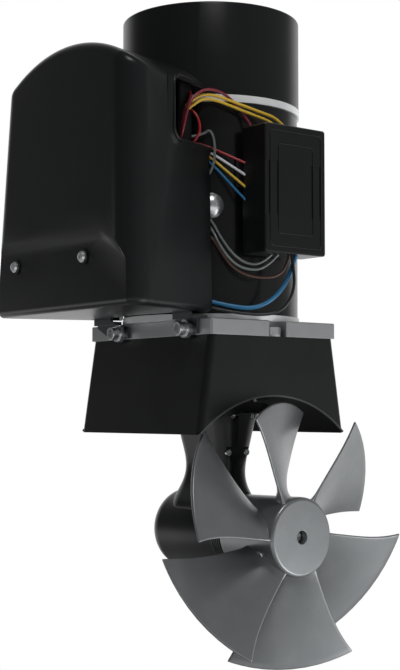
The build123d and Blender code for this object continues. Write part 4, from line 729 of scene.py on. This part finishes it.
@dataclass
class Propeller:
    """Hub turned from a profile, and blades set round it by a node tree.

    Pairs are values at the root and at the tip, or at the rear and at the front. Angles are in degrees round X.
    """

    tip: float = 91.7
    root: float = 28.0
    inner: float = 24.0  # inside the hub
    blades: int = 6
    lead_x: Pair = (72.0, 62.3)
    lead_angle: Pair = (196.0, 187.7)
    trail_x: Pair = (95.9, 101.9)
    trail_angle: Pair = (240.6, 238.2)
    trail_hollow: float = 2.8
    trail_back: float = 1.6
    middle_t: Pair = (7.4, 2.9)
    middle_power: float = 0.8
    edge_t: float = 1.7
    root_flare: float = 5.0
    flare_rise: float = 0.6
    flare_fade: float = 2.2
    flare_edge: float = 0.45  # share of the root's flare that the edges get
    hub_x: Pair = (42.2, 99.3)
    hub_r: Pair = (26.5, 27.25)
    hub_edge: float = 2.6
    rear_edge: Pair = (0.8, 0.25)  # the rounding's size, and its middle's offset
    hole_edge: Pair = (0.5, 0.15)
    hole_r: float = 4.5
    hole_end: float = 89.0
    screw_r: float = 2.9
    bore_end: float = 86.3
    bore_r: float = 6.1
    rows: int = 22
    row_power: float = 1.15
    tip_round: float = 1.0
    tip_sections: tuple[Pair, ...] = ((0.45, 0.88), (0.12, 0.6), (0.0, 0.25))  # (from the tip, share)
    across: int = 14
    end_turns: tuple[int, ...] = (60, 30, 0, -30, -60)  # degrees round each edge
    share_step: float = 0.01
    radius_step: float = 0.5
    weld: float = 1e-7  # metres

    def between(self, pair: Pair, r: float) -> float:
        """Value at a radius of something given at the root radius and at the tip."""
        return pair[0] + (pair[1] - pair[0]) * (r - self.root) / (self.tip - self.root)

    def surface(self, r: float, share: float) -> Vector:
        """A point of the blade's middle surface.

        Args:
            r: Its radius.
            share: 0 at the leading edge to 1 at the trailing edge.

        Returns:
            The point.
        """
        depth = min(max((r - self.root) / (self.tip - self.root), 0.0), 1.0)
        bow = 4 * depth * (1 - depth)
        lead = self.between(self.lead_angle, r)
        trail = self.between(self.trail_angle, r) - self.trail_hollow * bow
        a = math.radians(lead + (trail - lead) * share)
        x0 = self.between(self.lead_x, r)
        x1 = self.between(self.trail_x, r) - self.trail_back * bow
        return Vector((x0 + (x1 - x0) * share, r * math.cos(a), r * math.sin(a)))

    def normal(self, r: float, share: float) -> Vector:
        """Direction square to the middle surface.

        Args:
            r: Radius.
            share: Place between the edges.

        Returns:
            The direction, towards the front.
        """
        d, e = self.share_step, self.radius_step
        step = self.surface(r, share + d) - self.surface(r, share - d)
        rise = self.surface(r + e, share) - self.surface(r - e, share)
        normal = step.cross(rise).normalized()
        return normal if normal.x > 0 else -normal

    def half_thickness(self, r: float, share: float) -> float:
        """Half the blade's thickness, thinner towards the edges and flared at the root.

        Args:
            r: Radius.
            share: Place between the edges.

        Returns:
            Half the thickness.
        """
        depth = (r - self.inner) / (self.tip - self.inner)
        middle = self.middle_t[0] + (self.middle_t[1] - self.middle_t[0]) * depth**self.middle_power
        flare = self.root_flare * math.exp(-max(r - self.hub_r[1] + self.flare_rise, 0.0) / self.flare_fade)
        bulk = 1 - (2 * share - 1) ** 2
        flare *= self.flare_edge + (1 - self.flare_edge) * bulk
        return (self.edge_t + (middle - self.edge_t) * bulk + flare) / 2

    def ring(self, r: float, thin: float) -> list[Vector]:
        """One closed section, with half-round edges.

        Args:
            r: Its radius.
            thin: Share of the full thickness.

        Returns:
            Its points, round the section once.
        """
        front, back = [], []
        for k in range(self.across + 1):
            share = 0.5 - 0.5 * math.cos(math.pi * k / self.across)
            at, off = self.surface(r, share), self.normal(r, share) * self.half_thickness(r, share) * thin
            front.append(at + off)
            back.append(at - off)
        ends = []
        for share, out in ((1.0, 1), (0.0, -1)):
            at, half = self.surface(r, share), self.half_thickness(r, share) * thin
            along = (self.surface(r, share + self.share_step * out) - at).normalized()
            off = self.normal(r, share)
            turns = self.end_turns[::out]
            ways = [(math.sin(math.radians(t)), math.cos(math.radians(t))) for t in turns]
            ends.append([at + off * half * up + along * half * on for up, on in ways])
        return front + ends[0] + back[::-1] + ends[1]

    def blade(self) -> Mesh:
        """One blade with a rounded tip.

        Returns:
            Its mesh, closed at both ends.
        """
        work = bmesh.new()
        run = self.tip - self.tip_round - self.inner
        sections = [(self.inner + run * (k / self.rows) ** self.row_power, 1.0) for k in range(self.rows + 1)]
        sections += [(self.tip - off, thin) for off, thin in self.tip_sections]
        loops = [[work.verts.new(p * MM) for p in self.ring(r, thin)] for r, thin in sections]
        for low, high in zip(loops, loops[1:]):
            for i in range(len(low)):
                j = (i + 1) % len(low)
                work.faces.new((low[i], low[j], high[j], high[i]))
        bmesh.ops.remove_doubles(work, verts=work.verts, dist=self.weld)
        bmesh.ops.holes_fill(work, edges=[e for e in work.edges if e.is_boundary], sides=0)
        return from_work(work, "blade")

    def array_tree(self) -> NodeTree:
        """Node tree that sets copies of a blade evenly round X.

        Returns:
            The tree, with inputs for the blade, the number of blades and the finish.
        """
        tree = bpy.data.node_groups.new("blades round the hub", "GeometryNodeTree")
        for name, kind, way in (
            ("Blade", "NodeSocketGeometry", "INPUT"),
            ("Blades", "NodeSocketInt", "INPUT"),
            ("Finish", "NodeSocketMaterial", "INPUT"),
            ("Propeller", "NodeSocketGeometry", "OUTPUT"),
        ):
            tree.interface.new_socket(name, in_out=way, socket_type=kind)
        into = add(tree, "NodeGroupInput").outputs
        points = add(tree, "GeometryNodePoints", {"Count": into["Blades"]})
        turn = add(tree, "ShaderNodeMath", {0: math.tau, 1: into["Blades"]}, operation="DIVIDE")
        index = add(tree, "GeometryNodeInputIndex")
        angle = add(tree, "ShaderNodeMath", {0: index.outputs[0], 1: turn.outputs[0]}, operation="MULTIPLY")
        about = add(tree, "ShaderNodeCombineXYZ", {"X": angle.outputs[0]})
        copies = {"Points": points.outputs[0], "Instance": into["Blade"], "Rotation": about.outputs[0]}
        placed = add(tree, "GeometryNodeInstanceOnPoints", copies)
        real = add(tree, "GeometryNodeRealizeInstances", {"Geometry": placed.outputs[0]})
        dressed = add(tree, "GeometryNodeSetMaterial", {"Geometry": real.outputs[0], "Material": into["Finish"]})
        add(tree, "NodeGroupOutput", {"Propeller": dressed.outputs[0]})
        return tree

    def hub(self) -> Mesh:
        """Hub with a rounded front rim and its screw hole.

        Returns:
            Its mesh.
        """
        (x0, x1), (r0, r1), e = self.hub_x, self.hub_r, self.hub_edge
        turns = [math.radians(18 * k) for k in range(6)]
        rim = [(x1 - e + e * math.sin(a), r1 - e + e * math.cos(a)) for a in turns]
        size, off = self.rear_edge
        rear = [(x0, r0 - size), (x0 + off, r0 - off), (x0 + size, r0)]
        size, off = self.hole_edge
        hole = [(x1, self.hole_r + size), (x1 - off, self.hole_r + off), (x1 - size, self.hole_r)]
        seat = [(self.hole_end, self.hole_r), (self.hole_end, self.screw_r)]
        bore = [(self.bore_end, self.screw_r), (self.bore_end, self.bore_r), (x0, self.bore_r)]
        return lathe("hub", rear + rim + hole + seat + bore)

    def build(self) -> None:
        """Build the hub, set the blades round it and dress the whole."""
        inputs = {"Blades": self.blades, "Finish": PIGMENTED}
        blades = grown("propeller_blades", self.blade(), self.array_tree(), inputs)
        smooth_by_angle(blades.data, SOFT_EDGE)
        settle(blades, PIGMENTED, Body.PROPELLER, ("propeller",))
        hub = keep("propeller_hub", self.hub())
        smooth_by_angle(hub.data, SOFT_EDGE)
        weigh_normals(hub)
        settle(hub, PIGMENTED, Body.PROPELLER, ("propeller",))


@dataclass
class HubScrew:
    """Socket set-screw in the side of the hub."""

    at: Point = (84.0, -24.5, -11.1)
    radius: float = 2.6
    proud: float = 0.9
    sunk: float = 3.0
    chamfer: float = 0.35
    socket_r: float = 1.2
    socket_depth: float = 1.2
    core: float = 0.05
    edge: float = 40.0  # degrees
    steps: int = 24

    def build(self) -> None:
        """Build the screw's end, a little proud of the hub, and dress it."""
        profile = [(-self.sunk, self.core), (-self.sunk, self.radius), (self.proud - self.chamfer, self.radius)]
        profile += [(self.proud, self.radius - self.chamfer), (self.proud, self.socket_r)]
        profile += [(-self.socket_depth, self.socket_r), (-self.socket_depth, self.core)]
        mesh = lathe("hub_set_screw", profile, self.steps)
        out = Vector((0, self.at[1], self.at[2])).normalized()
        base = out * Propeller().hub_r[1] + Vector((self.at[0], 0, 0))
        mesh.transform(Matrix.Translation(base * MM) @ out.to_track_quat("X", "Z").to_matrix().to_4x4())
        smooth_by_angle(mesh, self.edge)
        settle(keep("hub_set_screw", mesh), STAINLESS, Body.PROPELLER)


@dataclass
class BoxLid:
    """Two raised lines round the box lid's bare field; frames are (width, height, corner)."""

    face_x: float = 93.2
    middle: Pair = (1.0, 238.5)
    frames: tuple[tuple[float, float, float], ...] = ((47.0, 80.0, 3.0), (32.0, 62.0, 2.5))
    line_r: float = 0.45

    def build(self) -> None:
        """Build the two lines of the lid's moulding."""
        y0, z0 = self.middle
        for k, (width, height, corner) in enumerate(self.frames):
            loop = [(self.face_x, y0 + y, z0 + z) for y, z in rounded(width, height, corner)]
            settle(bead(f"lid_line_{k}", loop, self.line_r, closed=True), CAP_ABS, Body.FRAME)


def grown(name: str, seed: Mesh, tree: NodeTree, inputs: dict) -> Object:
    """Run a node tree once and keep its result as a plain mesh.

    Args:
        name: The piece's name.
        seed: The mesh that the tree starts from.
        tree: The node tree.
        inputs: Value of each named input; a finish stands for its material.

    Returns:
        The piece, with no modifier left on it.
    """
    source = keep(name, seed)
    modifier = source.modifiers.new("nodes", "NODES")
    modifier.node_group = tree
    for item in tree.interface.items_tree:
        if item.item_type == "SOCKET" and item.in_out == "INPUT" and item.name in inputs:
            value = inputs[item.name]
            modifier[item.identifier] = value.material() if isinstance(value, Finish) else value
    mesh = evaluated(source)
    bpy.data.objects.remove(source)
    return keep(name, mesh)


@dataclass
class Wire:
    """One wire out of the duct, along its route to the box or back into the duct."""

    node: str
    shade: str
    diameter: float
    length: float
    route: Sequence[Point]

    def build(self) -> Object:
        """Returns:
            The wire.
        """
        curve = round_curve(self.node, self.route, self.diameter / 2, kind="NURBS", sides=5)
        curve.resolution_u = 16  # which sets its spline's as well
        spline = curve.splines[0]
        spline.order_u = 3
        spline.use_endpoint_u = True
        finish = INSULATION[self.shade]
        curve.materials.append(finish.material())
        piece = keep(f"{self.node}_lead", curve)
        settle(piece, finish, Body.FRAME, (self.node,))
        return piece


WIRES: list[Wire] = [
    Wire("wire_fan_red", "red", diameter=1.8, length=43.3, route=(
        (47.5, -57, 272), (48.5, -49.5, 271.71), (55, -41, 267.88), (63.5, -35, 262.89), (71.5, -26.2, 257.3),
    )),
    Wire("wire_fan_white", "white", diameter=1.8, length=46.1, route=(
        (47.5, -57, 269.8), (48.5, -49.5, 269.38), (55, -41, 263.95), (63.5, -35, 256.84), (71.5, -26.2, 248.9),
    )),
    Wire("wire_fan_yellow", "yellow", diameter=1.8, length=49.6, route=(
        (47.5, -57, 267.6), (48.5, -49.5, 267.06), (55, -41, 260.04), (63.5, -35, 250.86), (71.5, -26.2, 240.6),
    )),
    Wire("wire_fan_blue", "blue", diameter=1.8, length=54.1, route=(
        (47.5, -57, 265.4), (48.5, -49.5, 264.72), (55, -41, 255.91), (63.5, -35, 244.38), (71.5, -26.2, 231.5),
    )),
    Wire("wire_yellow_upper", "yellow", diameter=2.2, length=84.3, route=(
        (49.2, -62, 296.5), (53.2, -55.5, 302.8), (54.9, -48.8, 305.6), (58.9, -41.6, 304.6), (63.2, -33.3, 301.6),
        (71.7, -16, 295.2), (78, 0, 290.2), (80.5, 5.5, 280.6),
    )),
    Wire("wire_yellow_lower", "yellow", diameter=2.2, length=77.7, route=(
        (49.2, -62, 292.8), (53.4, -55.7, 299.4), (55.1, -48.8, 302.4), (59, -41.6, 301.2), (63.3, -33.3, 298),
        (70.6, -18.6, 292.2), (76.3, -4.4, 287.4), (78.6, 0.8, 280.6),
    )),
    Wire("wire_maroon", "maroon", diameter=2.0, length=94.7, route=(
        (49.2, -66.8, 270.5), (54.2, -67.2, 280), (54.9, -65, 292), (55.2, -60, 302.5), (57, -50.5, 308.8),
        (59.8, -40.5, 308.2), (60.6, -30.2, 303.6), (66.2, -22, 292.2), (71.2, -18.5, 280.6),
    )),
    Wire("wire_red_near", "red", diameter=1.8, length=34.7, route=(
        (49.2, -58, 307.5), (52.2, -59.8, 302), (52.2, -64.4, 292), (51.6, -66.4, 281.5), (49.2, -66.2, 275.2),
    )),
    Wire("wire_red_far", "red", diameter=1.8, length=32.6, route=(
        (49.2, -57.2, 294.5), (53.2, -56, 291.5), (56.2, -54.6, 284.5), (55.6, -54.2, 275.5), (49.2, -59, 267.5),
    )),
    Wire("wire_grey_loop", "grey", diameter=1.8, length=62.4, route=(
        (48.8, -57, 275.6), (52, -48.5, 277.6), (56.4, -46.4, 281), (58.6, -44.2, 275.5), (59, -43.4, 266),
        (57.2, -43, 257), (52.4, -43.2, 249.8), (48.8, -48.8, 246.4), (47.5, -57, 245),
    )),
    Wire("wire_grey_upper", "grey", diameter=1.8, length=81.4, route=(
        (47.5, -57, 227), (49.5, -48.7, 225), (54.2, -42.6, 218), (59.4, -39.6, 207), (64.4, -32.8, 194.5),
        (70, -24.8, 187.4), (75.4, -15, 187.2), (80, -7.3, 196.3),
    )),
    Wire("wire_grey_lower", "grey", diameter=1.8, length=88.3, route=(
        (47.5, -57, 222.5), (49.2, -49.2, 220), (53.8, -42.2, 212.6), (60.4, -41.2, 201), (65.4, -35, 189.5),
        (70.6, -27, 183.4), (77, -12.8, 183.6), (81.3, -3.2, 196.3),
    )),
    Wire("wire_brown", "brown", diameter=1.8, length=97.4, route=(
        (47.5, -57, 214.5), (49.2, -48.5, 212.5), (54.2, -42, 206), (59.6, -38.4, 195.5), (64.2, -31.8, 184.6),
        (69.5, -23.6, 179.5), (75, -14.8, 177.8), (80, -5.8, 178.8), (82.4, 1, 184.6), (82.2, 4.6, 196.3),
    )),
    Wire("wire_blue_power", "blue", diameter=3.0, length=99.8, route=(
        (47, -57, 166), (48.9, -47.8, 163.2), (55.2, -39, 160.6), (64, -30.4, 157.8), (71.5, -20.5, 156.6),
        (76.8, -10.5, 160.7), (80.9, -2.2, 169), (83.8, 4.6, 182), (84.6, 9, 196.3),
    )),
    Wire("wire_black", "black", diameter=2.2, length=109.7, route=(
        (47, -57, 160.6), (49.2, -48, 158.8), (56, -38.6, 156), (66.6, -26.6, 153.2), (76.3, -12.8, 152),
        (83, -3.5, 155), (86.6, 2, 163.5), (87.6, 4.5, 174), (86.5, 4.4, 185), (84.8, 4, 196.3),
    )),
]


@dataclass(frozen=True)
class Lamp:
    """An area lamp that looks at the middle of the part.

    Args:
        name: Its name.
        side: Degrees round from the front, positive to the right.
        up: Degrees above the part's middle.
        away: Metres from the part's middle.
        size: Edge in metres.
        watts: Power.
        mirrored: Whether glossy surfaces show the lamp itself.
    """

    name: str
    side: float
    up: float
    away: float
    size: float
    watts: float
    mirrored: bool = False


@dataclass
class Studio:
    """Camera, surroundings, lamps and paper floor; metres and degrees."""

    turn: float = 51.309
    distance: float = 1.0193
    height: float = 0.08663
    pan: float = 0.451
    tilt: float = 3.107
    lens: float = 74.0  # millimetres, for a film side of 36
    film: float = 36.0
    sight: float = 20.0
    part_middle: Point = (0.0, 0.0, 0.12)
    floor_z: float = -0.5
    floor_reach: float = 5.0
    paper_reach: float = 0.75
    paper_end: float = 1.6
    paper: str = "#D6D6D6"
    room: float = 0.1
    glow: tuple[float, ...] = (80.0, -18.0, -0.1, 0.9, 0.16)  # side, up, fade's start and end, strength
    wall: tuple[float, ...] = (180.0, 0.0, 0.45, 0.8, 0.9)
    lamps: tuple[Lamp, ...] = (
        Lamp("low side", side=80, up=-16, away=1.4, size=0.9, watts=14),
        Lamp("left", side=-30, up=35, away=1.6, size=0.9, watts=7),
        Lamp("sparkle", side=10, up=58, away=1.5, size=0.3, watts=5, mirrored=True),
        Lamp("low sparkle", side=62, up=-34, away=0.95, size=0.5, watts=3, mirrored=True),
    )

    def camera(self) -> None:
        """Set the camera up."""
        data = bpy.data.cameras.new("camera")
        data.lens, data.sensor_width, data.sensor_fit = self.lens, self.film, "AUTO"
        data.clip_end = self.sight
        camera = keep("camera", data)
        a = math.radians(self.turn)
        camera.location = (math.sin(a) * self.distance, -math.cos(a) * self.distance, self.height)
        camera.rotation_euler = (math.radians(90 + self.tilt), 0, math.radians(self.turn + self.pan))
        bpy.context.scene.camera = camera

    def towards(self, side: float, up: float) -> Vector:
        """A direction in the room.

        Args:
            side: Degrees round from the front, positive to the right.
            up: Degrees above the horizon.

        Returns:
            The direction.
        """
        a, e = math.radians(self.turn + side), math.radians(up)
        return Vector((math.sin(a) * math.cos(e), -math.cos(a) * math.cos(e), math.sin(e)))

    def light(self, lamp: Lamp) -> None:
        """Add a lamp.

        Args:
            lamp: The lamp.
        """
        data = bpy.data.lights.new(lamp.name, "AREA")
        data.energy, data.size = lamp.watts, lamp.size
        placed = keep(lamp.name, data)
        placed.visible_glossy = lamp.mirrored
        offset = self.towards(lamp.side, lamp.up) * lamp.away
        placed.location = Vector(self.part_middle) + offset
        placed.rotation_euler = (-offset).to_track_quat("-Z", "Y").to_euler()

    def world(self) -> None:
        """Dim room with a light low side and a white wall behind, plain white to the camera."""
        world = bpy.data.worlds.new("surroundings")
        bpy.context.scene.world = world
        world.use_nodes = True
        tree = world.node_tree
        tree.nodes.clear()
        way = add(tree, "ShaderNodeTexCoord").outputs["Generated"]
        levels = []
        for side, up, start, end, level in (self.glow, self.wall):
            centre = self.towards(side, up)
            facing = add(tree, "ShaderNodeVectorMath", {0: way, 1: centre}, operation="DOT_PRODUCT")
            fade = {"Value": facing.outputs["Value"], "From Min": start, "From Max": end, "To Max": level}
            ramp = add(tree, "ShaderNodeMapRange", fade, interpolation_type="SMOOTHSTEP")
            levels.append(ramp.outputs["Result"])
        lit = add(tree, "ShaderNodeMath", {0: levels[0], 1: levels[1]}, operation="MAXIMUM")
        dim = add(tree, "ShaderNodeMath", {0: lit.outputs[0], 1: self.room}, operation="ADD")
        path = add(tree, "ShaderNodeLightPath")
        rays = {0: path.outputs["Is Camera Ray"], 1: path.outputs["Is Transmission Ray"]}
        seen = add(tree, "ShaderNodeMath", rays, operation="MAXIMUM")
        strength = add(tree, "ShaderNodeMapRange", {"Value": seen.outputs[0], "To Min": dim.outputs[0], "To Max": 1.0})
        sky = add(tree, "ShaderNodeBackground", {"Color": (1, 1, 1, 1), "Strength": strength.outputs[0]})
        add(tree, "ShaderNodeOutputWorld", {"Surface": sky.outputs[0]})

    def floor(self) -> None:
        """Pale paper under the part, which takes its shadow and fades into the white room."""
        mesh = bpy.data.meshes.new("floor")
        reach = self.floor_reach
        corners = [(-reach, -reach), (reach, -reach), (reach, reach), (-reach, reach)]
        mesh.from_pydata([(x, y, self.floor_z) for x, y in corners], [], [(0, 1, 2, 3)])
        floor = keep("floor", mesh)
        material = bpy.data.materials.new("matt white paper")
        material.use_nodes = True
        tree = material.node_tree
        tree.nodes.clear()
        place = add(tree, "ShaderNodeTexCoord").outputs["Object"]
        flat = add(tree, "ShaderNodeVectorMath", {0: place, 1: (1, 1, 0)}, operation="MULTIPLY")
        far = add(tree, "ShaderNodeVectorMath", {0: flat.outputs["Vector"]}, operation="LENGTH")
        fade = {"Value": far.outputs["Value"], "From Min": self.paper_reach, "From Max": self.paper_end}
        edge = add(tree, "ShaderNodeMapRange", fade, interpolation_type="SMOOTHSTEP")
        paper = add(tree, "ShaderNodeBsdfDiffuse", {"Color": linear(self.paper)})
        path = add(tree, "ShaderNodeLightPath")
        seen = path.outputs["Is Camera Ray"]
        for name in ("Is Glossy Ray", "Is Transmission Ray"):
            seen = add(tree, "ShaderNodeMath", {0: seen, 1: path.outputs[name]}, operation="MAXIMUM").outputs[0]
        share = add(tree, "ShaderNodeMath", {0: seen, 1: edge.outputs["Result"]}, operation="MULTIPLY")
        white = add(tree, "ShaderNodeEmission", {"Color": (1, 1, 1, 1), "Strength": 1.0})
        mix = add(tree, "ShaderNodeMixShader", {0: share.outputs[0], 1: paper.outputs[0], 2: white.outputs[0]})
        add(tree, "ShaderNodeOutputMaterial", {"Surface": mix.outputs[0]})
        mesh.materials.append(material)

    def build(self) -> None:
        """Set everything up."""
        scene = bpy.context.scene
        scene.view_settings.view_transform = "Standard"
        self.camera()
        self.world()
        self.floor()
        for lamp in self.lamps:
            self.light(lamp)


def main() -> None:
    """Load the frame and build every class in order."""
    logging.basicConfig(level=logging.INFO, format="%(name)s: %(message)s")
    FRAME.update(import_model())
    Studio().build()
    for wire in WIRES:
        wire.build()
    Cover().build()
    Propeller().build()
    HubScrew().build()
    Arch().build()
    BoxLid().build()
    SolidCopies().build()


if __name__ == "__main__":
    main()
